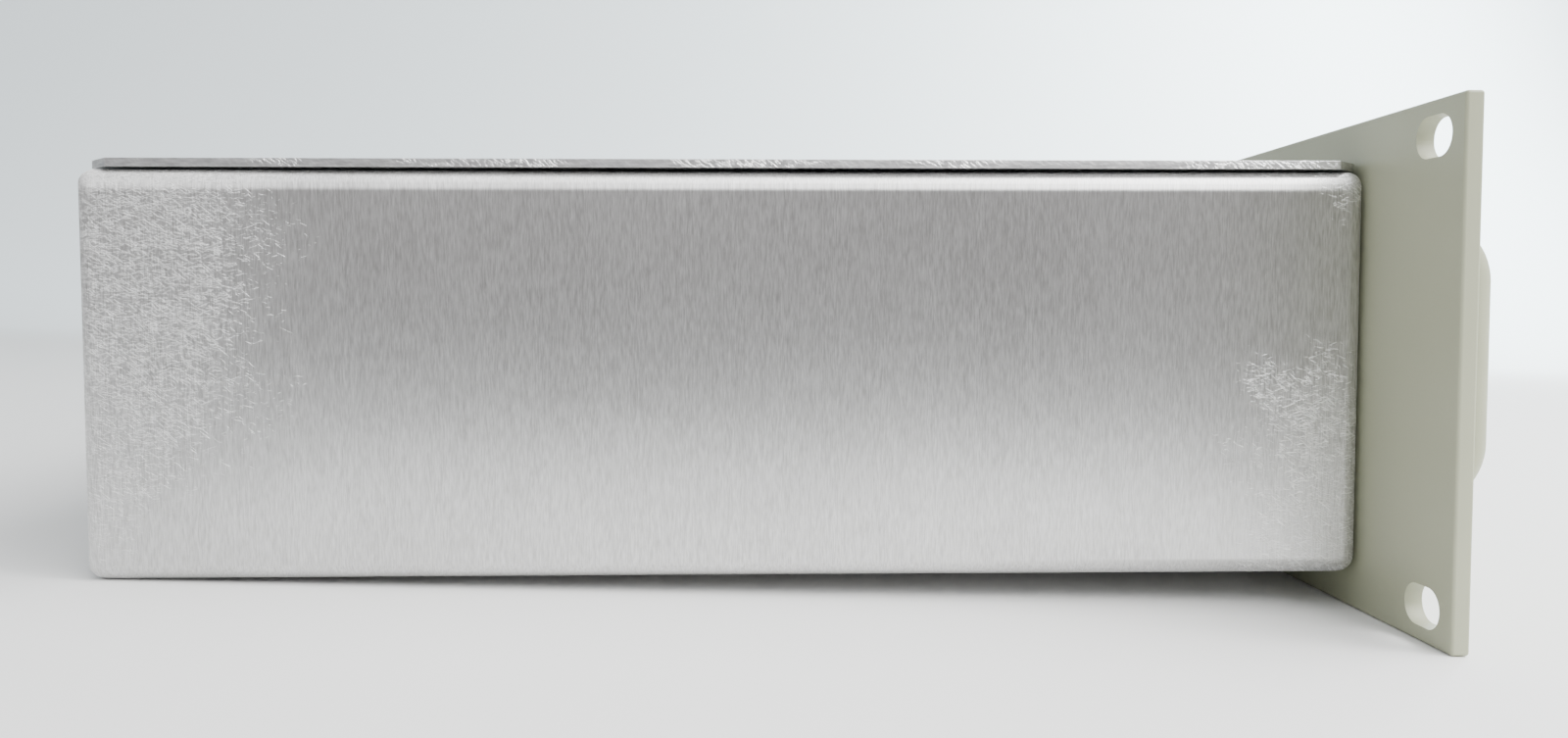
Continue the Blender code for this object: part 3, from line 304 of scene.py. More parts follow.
def circuit_board():
    """Green solder mask over copper tracks, with rows of tinned pads."""
    s = Shader("solder_mask", (0.02, 0.16, 0.07), 0.32, Coat_Weight=0.3)
    x, y = s.axis("X"), s.axis("Y")
    field = s.noise(11 * MM, 0.0)

    def tracks(axis, pitch):
        jog = s.math("ROUND", s.math("MULTIPLY", s.noise((40 * MM, 40 * MM, 40 * MM), 0.0), 14.0))
        cell = s.math("DIVIDE", s.math("ADD", axis, s.math("MULTIPLY", jog, 0.4 * MM)), pitch)
        line = s.math("ABSOLUTE", s.math("SUBTRACT", s.math("FRACT", cell), 0.5))
        gaps = s.ramp(s.math("ABSOLUTE", s.math("SINE", s.math("MULTIPLY", s.math("FLOOR", cell), 12.9))), 0.35, 0.36)
        return s.math("MULTIPLY", s.ramp(line, 0.17, 0.14), gaps)

    along = s.ramp(field, 0.49, 0.50)
    upright, level = tracks(x, 1.27 * MM), tracks(y, 1.27 * MM)
    copper = s.math("ADD", s.math("MULTIPLY", upright, along),
                    s.math("MULTIPLY", level, s.math("SUBTRACT", 1.0, along)))
    pads = s.node("TexVoronoi", distance="EUCLIDEAN")
    s.link(s.mapped((2.54 * MM, 2.54 * MM, 60 * MM)), pads.inputs["Vector"])
    pads.inputs["Scale"].default_value = 1.0
    pads.inputs["Randomness"].default_value = 0.0
    chosen = s.ramp(s.noise(7 * MM, 1.0), 0.56, 0.57)
    pad = s.math("MULTIPLY", s.ramp(pads.outputs["Distance"], 0.27, 0.24), chosen)
    mask = s.mix(copper, (0.012, 0.105, 0.045), (0.03, 0.20, 0.085))
    s.colour(s.mix(pad, mask, (0.72, 0.71, 0.66)))
    s.link(pad, s.principled.inputs["Metallic"])
    s.roughness(s.ramp(s.noise(3 * MM, 2.0), 0.3, 0.7, 0.26, 0.40))
    s.bump(s.math("ADD", copper, pad), 0.035 * MM, 0.6)
    return s.material


def wound_copper():
    """Enamelled wire laid side by side."""
    s = Shader("enamelled_wire", (0.62, 0.27, 0.12), 0.3, 1.0, Coat_Weight=0.6)
    wave = s.node("TexWave", wave_type="BANDS", bands_direction="Y")
    s.link(s.mapped((0.9 * MM, 0.9 * MM, 0.9 * MM)), wave.inputs["Vector"])
    wave.inputs["Scale"].default_value = 1.0
    wave.inputs["Distortion"].default_value = 0.2
    # The grooves between the turns are painted dark: painted shade in the crevices.
    s.colour(s.mix(wave.outputs["Fac"], (0.28, 0.10, 0.04), (0.74, 0.36, 0.17)))
    s.bump(wave.outputs["Fac"], 0.12 * MM, 0.8)
    return s.material


def laminated_steel():
    """Thin stamped sheets stacked along Y."""
    s = Shader("stator_steel", (0.20, 0.20, 0.21), 0.45, 1.0)
    y = s.math("FRACT", s.math("DIVIDE", s.axis("Y"), 0.5 * MM))
    seam = s.ramp(s.math("ABSOLUTE", s.math("SUBTRACT", y, 0.5)), 0.36, 0.46)
    s.colour(s.mix(seam, (0.24, 0.24, 0.25), (0.05, 0.05, 0.05)))
    s.bump(seam, 0.04 * MM, 0.7)
    return s.material


def ferrite():
    s = Shader("ferrite_core", (0.05, 0.05, 0.055), 0.55)
    speck = s.noise(0.4 * MM, 4.0, roughness=0.7)
    s.colour(s.mix(s.ramp(speck, 0.4, 0.7), (0.035, 0.035, 0.04), (0.14, 0.14, 0.15)))
    s.roughness(s.ramp(speck, 0.3, 0.7, 0.45, 0.75))
    s.bump(speck, 0.04 * MM, 0.6)
    return s.material


def tape():
    """Layers of amber film wound round, with edges that overlap."""
    s = Shader("winding_tape", (0.75, 0.52, 0.06), 0.28, Coat_Weight=0.5, Subsurface_Weight=0.05)
    edge = s.noise((14 * MM, 14 * MM, 1.1 * MM), 3.0)
    s.colour(s.mix(s.ramp(edge, 0.35, 0.65), (0.56, 0.34, 0.03), (0.82, 0.62, 0.10)))
    s.roughness(s.ramp(s.noise(2.5 * MM, 2.0), 0.3, 0.7, 0.2, 0.42))
    s.bump(edge, 0.06 * MM, 0.6)
    return s.material


def coated(name, dark, light, roughness, size=1.2 * MM, **direct):
    """Enamel, lacquer or sleeve film with a slight mottle."""
    s = Shader(name, light, roughness, **direct)
    mottle = s.noise(size, 3.0)
    s.colour(s.mix(s.ramp(mottle, 0.3, 0.7), dark, light))
    s.roughness(s.ramp(s.noise(size * 0.6, 2.0), 0.3, 0.7, roughness - 0.06, roughness + 0.1))
    s.bump(mottle, 0.02 * MM, 0.5)
    return s.material


def clear(name, colour, roughness, cloud, **direct):
    """Glass or a tinted lens, with fine streaks in its thickness."""
    s = Shader(name, colour, roughness, Transmission_Weight=0.85, IOR=1.49, **direct)
    haze = s.noise(cloud, 3.0)
    s.colour(s.mix(haze, [c * 0.82 for c in colour], colour))
    s.roughness(s.ramp(haze, 0.3, 0.7, roughness * 0.6, roughness * 1.5))
    return s.material


def insulation(name, colour):
    """Soft wire covering with a dull bloom."""
    s = Shader(name, colour, 0.42, Coat_Weight=0.1)
    bloom = s.noise((1.5 * MM, 1.5 * MM, 1.5 * MM), 3.0)
    s.colour(s.mix(s.ramp(bloom, 0.3, 0.7), [c * 0.82 for c in colour], [min(1, c * 1.12 + 0.01) for c in colour]))
    s.roughness(s.ramp(bloom, 0.3, 0.7, 0.34, 0.52))
    s.bump(bloom, 0.02 * MM, 0.5)
    return s.material


SHEET = brushed_aluminium()
COVER_SHEET = cover_metal("cover_sheet")
SHEARED_EDGE = cover_metal("sheared_edge", 38)
PAINT = panel_paint()
ZINC = plated("zinc_plate", (0.50, 0.50, 0.48), (0.72, 0.71, 0.68), 0.28)
BLACK = moulded("black_moulding", (0.025, 0.025, 0.027))
GLOSS_BLACK = moulded("rocker_moulding", (0.022, 0.022, 0.024), 0.30, 0.012)
FAN_BLACK = moulded("fan_moulding", (0.030, 0.030, 0.031), 0.40, 0.02)
CHIP = moulded("chip_epoxy", (0.028, 0.028, 0.03), 0.55, 0.03)
GREEN_PLASTIC = moulded("terminal_moulding", (0.05, 0.30, 0.10), 0.42, 0.02)
NICKEL = plated("nickel_plate", (0.62, 0.60, 0.56), (0.80, 0.78, 0.74), 0.20)
CHROME = plated("guard_plate", (0.66, 0.66, 0.66), (0.82, 0.82, 0.83), 0.16)
TINNED = plated("tin_plate", (0.58, 0.57, 0.52), (0.78, 0.76, 0.70), 0.30)
BRASS = plated("brass", (0.62, 0.46, 0.20), (0.80, 0.63, 0.32), 0.26)
GOLD = plated("gold_flash", (0.78, 0.56, 0.22), (0.95, 0.74, 0.36), 0.20)
SHEET_PLAIN = mill_aluminium()
BOARD = circuit_board()
COPPER = wound_copper()
DARK_STEEL = laminated_steel()
FERRITE = ferrite()
TAPE = tape()
SLEEVE = coated("can_sleeve", (0.012, 0.022, 0.075), (0.022, 0.040, 0.13), 0.26)
SLEEVE_STRIPE = coated("sleeve_stripe", (0.52, 0.53, 0.55), (0.66, 0.67, 0.69), 0.30)
FILM = coated("film_capacitor", (0.42, 0.11, 0.02), (0.58, 0.18, 0.035), 0.32)
RESISTOR = coated("resistor_body", (0.52, 0.40, 0.24), (0.66, 0.53, 0.34), 0.36)
BAND_RED = coated("band_red", (0.42, 0.02, 0.02), (0.55, 0.04, 0.03), 0.4)
BAND_BROWN = coated("band_brown", (0.09, 0.035, 0.012), (0.14, 0.06, 0.02), 0.4)
BAND_GOLD = coated("band_gold", (0.42, 0.28, 0.06), (0.56, 0.40, 0.12), 0.35, Metallic=0.8)
FUSE_GLASS = clear("fuse_tube", (0.95, 0.97, 0.96), 0.05, 2.0 * MM)
GREEN_LENS = clear("green_lens_clear", (0.10, 0.72, 0.24), 0.10, 1.2 * MM, Coat_Weight=0.4)
AMBER_LENS = clear("amber_lens_clear", (0.95, 0.52, 0.06), 0.10, 1.2 * MM, Coat_Weight=0.4)
RIBBON = insulation("ribbon_grey", (0.42, 0.42, 0.43))
WIRE_BROWN = insulation("wire_brown", (0.16, 0.065, 0.03))
WIRE_BLUE = insulation("wire_blue", (0.03, 0.10, 0.42))
WIRE_GREEN = insulation("wire_green", (0.08, 0.34, 0.07))
WIRE_RED = insulation("wire_red", (0.52, 0.025, 0.02))
WIRE_BLACK = insulation("wire_black", (0.02, 0.02, 0.022))
WIRE_YELLOW = insulation("wire_yellow", (0.72, 0.55, 0.05))


# ---------------------------------------------------------------- shapes
def finish_mesh(name, bm, material, smooth_angle=35.0):
    mesh = bpy.data.meshes.new(name)
    bmesh.ops.recalc_face_normals(bm, faces=bm.faces)
    bm.to_mesh(mesh)
    bm.free()
    mesh.shade_smooth()
    mesh.set_sharp_from_angle(angle=math.radians(smooth_angle))
    made = bpy.data.objects.new(name, mesh)
    bpy.context.scene.collection.objects.link(made)
    if material:
        mesh.materials.append(material)
    return made


def ring_edges(bm, along=None):
    """All edges, or those along one axis (0, 1 or 2)."""
    if along is None:
        return bm.edges[:]
    return [e for e in bm.edges if abs((e.verts[0].co - e.verts[1].co).normalized()[along]) > 0.99]


def block(name, low, high, material=None, bevel=0.0, segments=3, along=None):
    """A box between two corners with rounded edges."""
    bm = bmesh.new()
    bmesh.ops.create_cube(bm, size=1)
    low, high = Vector(low), Vector(high)
    bmesh.ops.scale(bm, vec=high - low, verts=bm.verts)
    bmesh.ops.translate(bm, vec=(low + high) / 2, verts=bm.verts)
    if bevel:
        bmesh.ops.bevel(
            bm, geom=ring_edges(bm, along), offset=bevel, segments=segments, profile=0.5, affect="EDGES"
        )
    return finish_mesh(name, bm, material)


def around(name, spot, half, material=None, **rounding):
    """A box of the given half size about a middle."""
    return block(name, spot - half, spot + half, material, **rounding)


def turned(name, profile, place, axis, material=None, steps=40, smooth_angle=35.0):
    """A closed (radius, height) outline turned about an axis through place; radius 0 points are poles."""
    bm = bmesh.new()
    turn = Vector(axis).to_track_quat("Z", "Y").to_matrix().to_4x4()
    where = Matrix.Translation(place) @ turn
    rings = []
    for radius, height in profile:
        if radius == 0:
            rings.append([bm.verts.new(where @ Vector((0, 0, height)))])
            continue
        angles = (2 * math.pi * k / steps for k in range(steps))
        rings.append(
            [bm.verts.new(where @ Vector((radius * math.cos(a), radius * math.sin(a), height))) for a in angles]
        )
    closed = profile[0][0] > 0 and profile[-1][0] > 0
    pairs = list(zip(rings, rings[1:])) + ([(rings[-1], rings[0])] if closed else [])
    for a, b in pairs:
        for k in range(steps):
            corners = [a[k % len(a)], a[(k + 1) % len(a)], b[(k + 1) % len(b)], b[k % len(b)]]
            unique = list(dict.fromkeys(corners))
            if len(unique) > 2:
                bm.faces.new(unique)
    return finish_mesh(name, bm, material, smooth_angle)


def rod(name, radius, start, end, material=None, steps=32, chamfer=0.0):
    start, end = Vector(start), Vector(end)
    length = (end - start).length
    c = min(chamfer, radius * 0.6)
    profile = [(0, 0), (radius - c, 0), (radius, c), (radius, length - c), (radius - c, length), (0, length)]
    if not c:
        profile = [(0, 0), (radius, 0), (radius, length), (0, length)]
    return turned(name, profile, start, end - start, material, steps)


def wire(name, points, radius, material, sides=3, cyclic=False):
    """A round bar or wire along points, as a curve turned into a mesh."""
    curve = bpy.data.curves.new(name, "CURVE")
    curve.dimensions = "3D"
    curve.bevel_depth = radius
    curve.bevel_resolution = sides
    curve.use_fill_caps = not cyclic
    spline = curve.splines.new("POLY")
    spline.points.add(len(points) - 1)
    spline.use_cyclic_u = cyclic
    for target, point in zip(spline.points, points):
        target.co = (*point, 1)
    holder = bpy.data.objects.new(name, curve)
    bpy.context.scene.collection.objects.link(holder)
    made = as_mesh(holder)
    made.data.materials.append(material)
    return made


def as_mesh(source):
    """A new object with the evaluated mesh of source, which is removed."""
    bpy.context.view_layer.update()
    graph = bpy.context.evaluated_depsgraph_get()
    mesh = bpy.data.meshes.new_from_object(source.evaluated_get(graph))
    name, world = source.name, source.matrix_world.copy()
    bpy.data.objects.remove(source, do_unlink=True)
    mesh.transform(world)
    bm = bmesh.new()
    bm.from_mesh(mesh)
    bmesh.ops.remove_doubles(bm, verts=bm.verts, dist=0.000002)
    bm.to_mesh(mesh)
    bm.free()
    mesh.shade_smooth()
    mesh.set_sharp_from_angle(angle=math.radians(35))
    mesh.name = name
    made = bpy.data.objects.new(name, mesh)
    bpy.context.scene.collection.objects.link(made)
    return made


def boolean(target, operation, tools):
    """Cuts the tools from the target, or joins them to it, and removes them."""
    for tool in tools:
        step = target.modifiers.new("step", "BOOLEAN")
        step.operation = operation
        step.object = tool
    made = as_mesh(target)
    for tool in tools:
        bpy.data.objects.remove(tool, do_unlink=True)
    return made


def cut(target, *tools):
    return boolean(target, "DIFFERENCE", tools)


def joined(name, *pieces):
    """One object that holds several pieces' meshes, each with its own material."""
    bm = bmesh.new()
    materials = []
    for piece in pieces:
        first = len(bm.faces)
        bm.from_mesh(piece.data)
        bm.faces.ensure_lookup_table()
        slots = [m for m in piece.data.materials]
        for face in bm.faces[first:]:
            material = slots[face.material_index] if slots else None
            if material not in materials:
                materials.append(material)
            face.material_index = materials.index(material)
        bpy.data.objects.remove(piece, do_unlink=True)
    mesh = bpy.data.meshes.new(name)
    bm.to_mesh(mesh)
    bm.free()
    for material in materials:
        mesh.materials.append(material)
    made = bpy.data.objects.new(name, mesh)
    bpy.context.scene.collection.objects.link(made)
    return made


def weighted(obj):
    """Keeps broad faces flat while their rounded edges shade smoothly."""
    step = obj.modifiers.new("weighted_normals", "WEIGHTED_NORMAL")
    step.keep_sharp = True
    return obj


def place_piece(obj, body, slot, *nodes):
    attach(obj, body)
    if nodes:
        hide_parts(*nodes)
    return obj


def middle(node):
    low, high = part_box(node)
    return (low + high) / 2


def level_with(node, y):
    """The middle of a node, moved along Y to y."""
    spot = middle(node)
    return Vector((spot.x, y, spot.z))


def pivot_of(joint):
    return Vector(next(j["pos_m"] for j in frame["joints"] if j["name"] == joint))


# ---------------------------------------------------------------- case, cover, panel, handles
def hole_y(radius, spot, y, steps=32):
    """A round cutter along Y, 6 mm to each side of y."""
    return rod("hole", radius, (spot.x, y - 6 * MM, spot.z), (spot.x, y + 6 * MM, spot.z), steps=steps)


def case_body():
    """The solid outside of the tub, whose top edges are rounded a little tighter than the others."""
    bm = bmesh.new()
    bmesh.ops.create_cube(bm, size=1)
    bmesh.ops.scale(bm, vec=tub_high - tub_low, verts=bm.verts)
    bmesh.ops.translate(bm, vec=(tub_low + tub_high) / 2, verts=bm.verts)
    bmesh.ops.bevel(bm, geom=ring_edges(bm, 2), offset=3.4 * MM, segments=8, profile=0.5, affect="EDGES")
    for level, radius in ((tub_low.z, 3.0 * MM), (tub_high.z, 2.5 * MM)):
        loop = [e for e in bm.edges if all(abs(v.co.z - level) < 1e-6 for v in e.verts)]
        bmesh.ops.bevel(bm, geom=loop, offset=radius, segments=8, profile=0.5, affect="EDGES")
    return finish_mesh("case_shell", bm, SHEET)


def case_shell():
    """The welded tub: rounded outside, hollow, with a flange round its mouth and all its cut-outs."""
    shell = case_body()
    wall = Vector((WALL, WALL, WALL))
    hollow = block("hollow", tub_low + wall, tub_high - wall, bevel=1.2 * MM, segments=3)
    rim = mm(14, 14, 0)
    mouth = block("mouth", tub_low + rim + 30 * MM * UP, tub_high - rim + 10 * MM * UP, bevel=3 * MM, along=2)
    cutters = [hollow, mouth]
    for corner in CORNERS:
        cutters.append(hole_y(2.3 * MM, middle(f"handle_screw_{corner}"), tub_low.y))
    for side in SIDES:
        for level in ("lower", "upper"):
            cutters.append(hole_y(1.9 * MM, middle(f"panel_screw_{side}_{level}"), tub_low.y))
            cutters.append(hole_y(2.3 * MM, middle(f"fan_screw_{side}_{level}"), REAR_WALL))
        for node in (f"inlet_screw_{side}", f"jackscrew_{side}"):
            cutters.append(hole_y(1.9 * MM, middle(node), REAR_WALL))
    cutters.append(around("switch_hole", level_with("power_switch_housing", tub_low.y), mm(7.1, 10, 10.2)))
    for name in LAMPS:
        cutters.append(hole_y(4.5 * MM, middle(f"{name}_bezel"), tub_low.y))
    cutters.append(hole_y(28 * MM, middle("fan_frame"), REAR_WALL, steps=72))
    cutters.append(around("inlet_hole", level_with("inlet_housing", REAR_WALL), mm(13.8, 10, 14.8)))
    cutters.append(around("connector_hole", level_with("connector_shell", REAR_WALL), mm(20.5, 10, 5.9),
                          bevel=1.5 * MM, along=1))
    for row in range(2):
        for column in range(4):
            spot = Vector((10 * MM + 14 * MM * column, PANEL_BACK + (20 + 22 * row) * MM, tub_low.z))
            half = mm(2, 8, 6)
            cutters.append(around("vent", spot, half, bevel=1.9 * MM, segments=5, along=2))
    for name in cover_screws():
        spot = middle(name)
        cutters.append(rod("hole", 1.9 * MM, (spot.x, spot.y, tub_high.z - 5 * MM),
                           (spot.x, spot.y, tub_high.z + 5 * MM)))
    shell = weighted(cut(shell, *cutters))
    place_piece(shell, "chassis", "brushed_aluminium", "case_tub")


def cover_screws():
    return [f"cover_screw_{row}_{side}" for row in ("front", "rear") for side in ("left", "middle", "right")]


def countersink(face, outward):
    """A cone cutter that opens at face."""
    radius, depth, over = 3.8 * MM, 1.9 * MM, 0.2 * MM
    profile = [(0, over), (radius, over), (radius - depth, over - depth), (0, over - depth)]
    return turned("sink", profile, face, outward, steps=40)


def cover_plate():
    """The flat lid, its corners cut off and its edge sheared."""
    corner = 4.6 * MM
    bm = bmesh.new()
    bmesh.ops.create_cube(bm, size=1)
    bmesh.ops.scale(bm, vec=cover_high - cover_low, verts=bm.verts)
    bmesh.ops.translate(bm, vec=(cover_low + cover_high) / 2, verts=bm.verts)
    bmesh.ops.bevel(bm, geom=ring_edges(bm, 2), offset=corner, segments=1, affect="EDGES")
    flat = [e for e in bm.edges if abs(e.verts[0].co.z - e.verts[1].co.z) < 1e-6]
    bmesh.ops.bevel(bm, geom=flat, offset=0.12 * MM, segments=2, profile=0.5, affect="EDGES")
    bm.normal_update()
    for face in bm.faces:
        face.material_index = int(abs(face.normal.z) < 0.9)
    plate = finish_mesh("cover_plate", bm, COVER_SHEET, smooth_angle=25)
    plate.data.materials.append(SHEARED_EDGE)
    tools = []
    for name in cover_screws():
        spot = middle(name)
        face = Vector((spot.x, spot.y, cover_high.z))
        tools += [countersink(face, UP), rod("hole", 1.9 * MM, face - 5 * MM * UP, face + 5 * MM * UP)]
    plate = weighted(cut(plate, *tools))
    place_piece(plate, "cover", "brushed_aluminium", "top_cover")


def cross_recess(face, outward, size, depth):
    """A Phillips recess as two tapered crossed wings."""
    tools = []
    frame_turn = Vector(outward).to_track_quat("Z", "Y").to_matrix().to_4x4()
    for turn in (0, 90):
        bm = bmesh.new()
        bmesh.ops.create_cube(bm, size=1)
        for v in bm.verts:
            shrink = 1.0 if v.co.z > 0 else 0.35
            v.co = Vector((v.co.x * size * shrink, v.co.y * size * 0.26 * shrink, v.co.z * 2 * depth))
        bmesh.ops.transform(
            bm, matrix=Matrix.Translation(face) @ frame_turn @ Matrix.Rotation(math.radians(turn), 4, "Z"),
            verts=bm.verts,
        )
        tools.append(finish_mesh("recess", bm, None))
    return tools


def countersunk_screw(node, outward, body):
    """A flat-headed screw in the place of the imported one."""
    low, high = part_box(node)
    spot = (low + high) / 2
    outward = Vector(outward)
    length = abs((high - low).dot(outward))
    face = spot + outward * length / 2
    profile = [
        (0, 0), (2.75 * MM, 0), (2.9 * MM, -0.15 * MM), (2.9 * MM, -0.25 * MM), (1.5 * MM, -1.65 * MM),
        (1.5 * MM, -length + 0.4 * MM), (1.15 * MM, -length), (0, -length),
    ]
    screw = turned(node + "_fine", profile, face, outward, ZINC, steps=32)
    screw = cut(screw, *cross_recess(face, outward, 3.1 * MM, 1.1 * MM))
    place_piece(screw, body, "zinc_steel", node)


def pan_head_screw(node, outward, body):
    low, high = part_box(node)
    spot = (low + high) / 2
    outward = Vector(outward)
    length = abs((high - low).dot(outward))
    radius = (high.x - low.x) / 2 - 0.02 * MM
    face = spot + outward * length / 2
    head = radius * 0.62
    shank = radius * 0.5
    dome = [(radius * math.sin(a), -head + head * math.cos(a) ** 0.8) for a in
            (math.radians(15 * k) for k in range(1, 6))]
    profile = [(0, 0), *dome, (radius, -head), (shank, -head), (shank, -length + shank * 0.3),
               (shank * 0.7, -length), (0, -length)]
    screw = turned(node + "_fine", profile, face, outward, ZINC, steps=32)
    screw = cut(screw, *cross_recess(face, outward, radius * 1.15, 1.2 * MM))
    place_piece(screw, body, "zinc_steel", node)


def slot_cutter(x, z):
    """A rack slot with round ends, 10.3 x 6.8 mm."""
    spot = Vector((x, (PANEL_FACE + PANEL_BACK) / 2, z))
    return around("slot", spot, mm(5.15, 8, 3.4), bevel=3.39 * MM, segments=14, along=1)


def panel_plate():
    plate = block("panel_plate", panel_low, panel_high, PAINT, bevel=0.55 * MM, segments=4)
    tools = []
    for side in (-1, 1):
        for level in (-1, 1):
            tools.append(slot_cutter(side * (panel_high.x - 8.75 * MM), PANEL_Z + level * 38.1 * MM))
    for corner in CORNERS:
        spot = middle(f"panel_screw_{corner}")
        tools.append(countersink(Vector((spot.x, PANEL_FACE, spot.z)), FRONT))
        tools.append(hole_y(1.9 * MM, spot, PANEL_FACE))
        tools.append(hole_y(2.3 * MM, middle(f"handle_screw_{corner}"), PANEL_FACE))
    tools.append(around("switch_hole", level_with("power_switch_housing", PANEL_FACE), mm(6.6, 10, 9.7)))
    for name in LAMPS:
        tools.append(hole_y(3.4 * MM, middle(f"{name}_bezel"), PANEL_FACE))
    plate = weighted(cut(plate, *tools))
    place_piece(plate, "chassis", "panel_paint", "front_panel")


def bow_handle(side):
    """A bent bar whose ends meet the panel."""
    node = f"handle_{side}"
    low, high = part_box(node)
    x = (low.x + high.x) / 2
    radius = (high.x - low.x) / 2
    bend = 9 * MM
    far = low.y + radius
    lower, upper = low.z + radius, high.z - radius
    corner = [math.radians(90 * k / 14) for k in range(15)]
    points = [(x, high.y, lower)]
    points += [(x, far + bend * (1 - math.sin(a)), lower + bend * (1 - math.cos(a))) for a in corner]
    points += [(x, far + bend * (1 - math.cos(a)), upper - bend * (1 - math.sin(a))) for a in corner]
    points.append((x, high.y, upper))
    bar = wire(f"bow_handle_{side}", points, radius, PAINT, sides=14)
    place_piece(bar, "chassis", "panel_paint", node)


# ---------------------------------------------------------------- front panel fittings
def switch_housing():
    """The switch's frame and body, open in front, with two blade terminals behind."""
    low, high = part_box("power_switch_housing")
    centre = (low + high) / 2
    bezel = block("switch_frame", low, (high.x, low.y + 2 * MM, high.z), BLACK, bevel=0.7 * MM, segments=4)
    side, rise = 6.3 * MM, 9.4 * MM
    body = block(
        "switch_body", (centre.x - side, low.y + 1 * MM, centre.z - rise),
        (centre.x + side, high.y, centre.z + rise), BLACK, bevel=0.4 * MM,
    )
    frame_and_body = boolean(bezel, "UNION", [body])
    side, rise = 5.2 * MM, 8.4 * MM
    room = block(
        "switch_room", (centre.x - side, low.y - 2 * MM, centre.z - rise),
        (centre.x + side, PANEL_BACK + 10 * MM, centre.z + rise), bevel=0.3 * MM,
    )
    housing = weighted(cut(frame_and_body, room))
    place_piece(housing, "chassis", "black_plastic", "power_switch_housing")
    blades = [
        block("blade", (centre.x + x - 2.4 * MM, high.y - 0.4 * MM, centre.z + z - 0.4 * MM),
              (centre.x + x + 2.4 * MM, high.y + 2.2 * MM, centre.z + z + 0.4 * MM), TINNED, bevel=0.15 * MM)
        for x, z in ((0, 5 * MM), (0, -5 * MM))
    ]
    place_piece(joined("switch_terminals", *blades), "chassis", "tinned_brass")


def slab_x(name, outline, low_x, high_x, material, bevel=0.0):
    """A closed outline of (y, z) points drawn out along X, with rounded end edges."""
    bm = bmesh.new()
    near = [bm.verts.new((low_x, y, z)) for y, z in outline]
    far = [bm.verts.new((high_x, y, z)) for y, z in outline]
    bm.faces.new(near)
    bm.faces.new(far[::-1])
    for k in range(len(outline)):
        following = (k + 1) % len(outline)
        bm.faces.new((near[k], far[k], far[following], near[following]))
    if bevel:
        bmesh.ops.bevel(bm, geom=bm.edges[:], offset=bevel, segments=3, profile=0.5, affect="EDGES")
    return finish_mesh(name, bm, material)


def rocker():
    """A shallow V with three grip ribs at each end, tilted about the pins that it turns on."""
    pivot = pivot_of("power_rocker")
    tilt = math.radians(10)
    face = [(-6.0, 7.0), (-5.4, 3.6), (-4.8, 0), (-5.4, -3.6), (-6.0, -7.0)]
    back = [(0.9, -6.3), (2.6, 0), (0.9, 6.3)]

    def turned_point(y, z):
        y, z = y * MM, z * MM
        return (pivot.y + y * math.cos(tilt) - z * math.sin(tilt), pivot.z + y * math.sin(tilt) + z * math.cos(tilt))

    outline = [turned_point(*point) for point in face + back]
    half = 4.9 * MM
    body = slab_x("rocker_body", outline, pivot.x - half, pivot.x + half, GLOSS_BLACK, bevel=0.35 * MM)
    grooves = []
    for z in (-5.6, -4.6, -3.6, 3.6, 4.6, 5.6):
        y = -4.8 - 1.2 * abs(z) / 7.0
        a, b = turned_point(y - 0.5, z - 0.22), turned_point(y + 0.28, z + 0.22)
        corners = [a, turned_point(y - 0.5, z + 0.22), b, turned_point(y + 0.28, z - 0.22)]
        grooves.append(slab_x("groove", corners, pivot.x - 3.6 * MM, pivot.x + 3.6 * MM, None))
    body = cut(body, *grooves)
    reach = half + 0.7 * MM
    pins = rod("pins", 1.1 * MM, pivot - Vector((reach, 0, 0)), pivot + Vector((reach, 0, 0)), GLOSS_BLACK,
               chamfer=0.3 * MM)
    body = boolean(body, "UNION", [pins])
    place_piece(weighted(body), "rocker", "black_plastic", "power_switch_rocker")


def lamp(name, lens_material, slot):
    """A nickel-plated bezel round a domed lens."""
    low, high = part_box(f"{name}_bezel")
    centre = (low + high) / 2
    face = Vector((centre.x, low.y, centre.z))
    flange, bore, body, length = 4.1 * MM, 2.6 * MM, 3.0 * MM, high.y - low.y
    profile = [
        (bore, 0), (bore + 0.25 * MM, 0), (flange - 0.9 * MM, 0), (flange - 0.35 * MM, -0.12 * MM),
        (flange, -0.45 * MM), (flange, -1.05 * MM), (flange - 0.15 * MM, -1.2 * MM), (body, -1.2 * MM),
        (body, -length), (bore, -length),
    ]
    bezel = turned(f"{name}_ring", profile, face, FRONT, NICKEL, steps=64)
    place_piece(bezel, "chassis", "zinc_steel", f"{name}_bezel")
    lens_low, lens_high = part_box(f"{name}_lens")
    tip = Vector((centre.x, lens_low.y, centre.z))
    radius, depth = 2.3 * MM, lens_high.y - lens_low.y
    dome = [(radius * math.sin(a), radius * (math.cos(a) - 1)) for a in (math.radians(9 * k) for k in range(1, 11))]
    shoulder = -depth + 1.0 * MM
    profile = [(0, 0), *dome, (radius, shoulder), (2.9 * MM, shoulder), (2.9 * MM, -depth), (0, -depth)]
    lens = turned(f"{name}_dome", profile, tip, FRONT, lens_material, steps=48, smooth_angle=50)
    place_piece(lens, "chassis", slot, f"{name}_lens")


# ---------------------------------------------------------------- mains inlet and fuse drawer
def extruded_y(name, outline, low_y, high_y, material=None):
    """A closed outline of (x, z) points drawn out along Y."""
    bm = bmesh.new()
    near = [bm.verts.new((x, low_y, z)) for x, z in outline]
    far = [bm.verts.new((x, high_y, z)) for x, z in outline]
    bm.faces.new(near)
    bm.faces.new(far[::-1])
    for k in range(len(outline)):
        following = (k + 1) % len(outline)
        bm.faces.new((near[k], far[k], far[following], near[following]))
    return finish_mesh(name, bm, material)


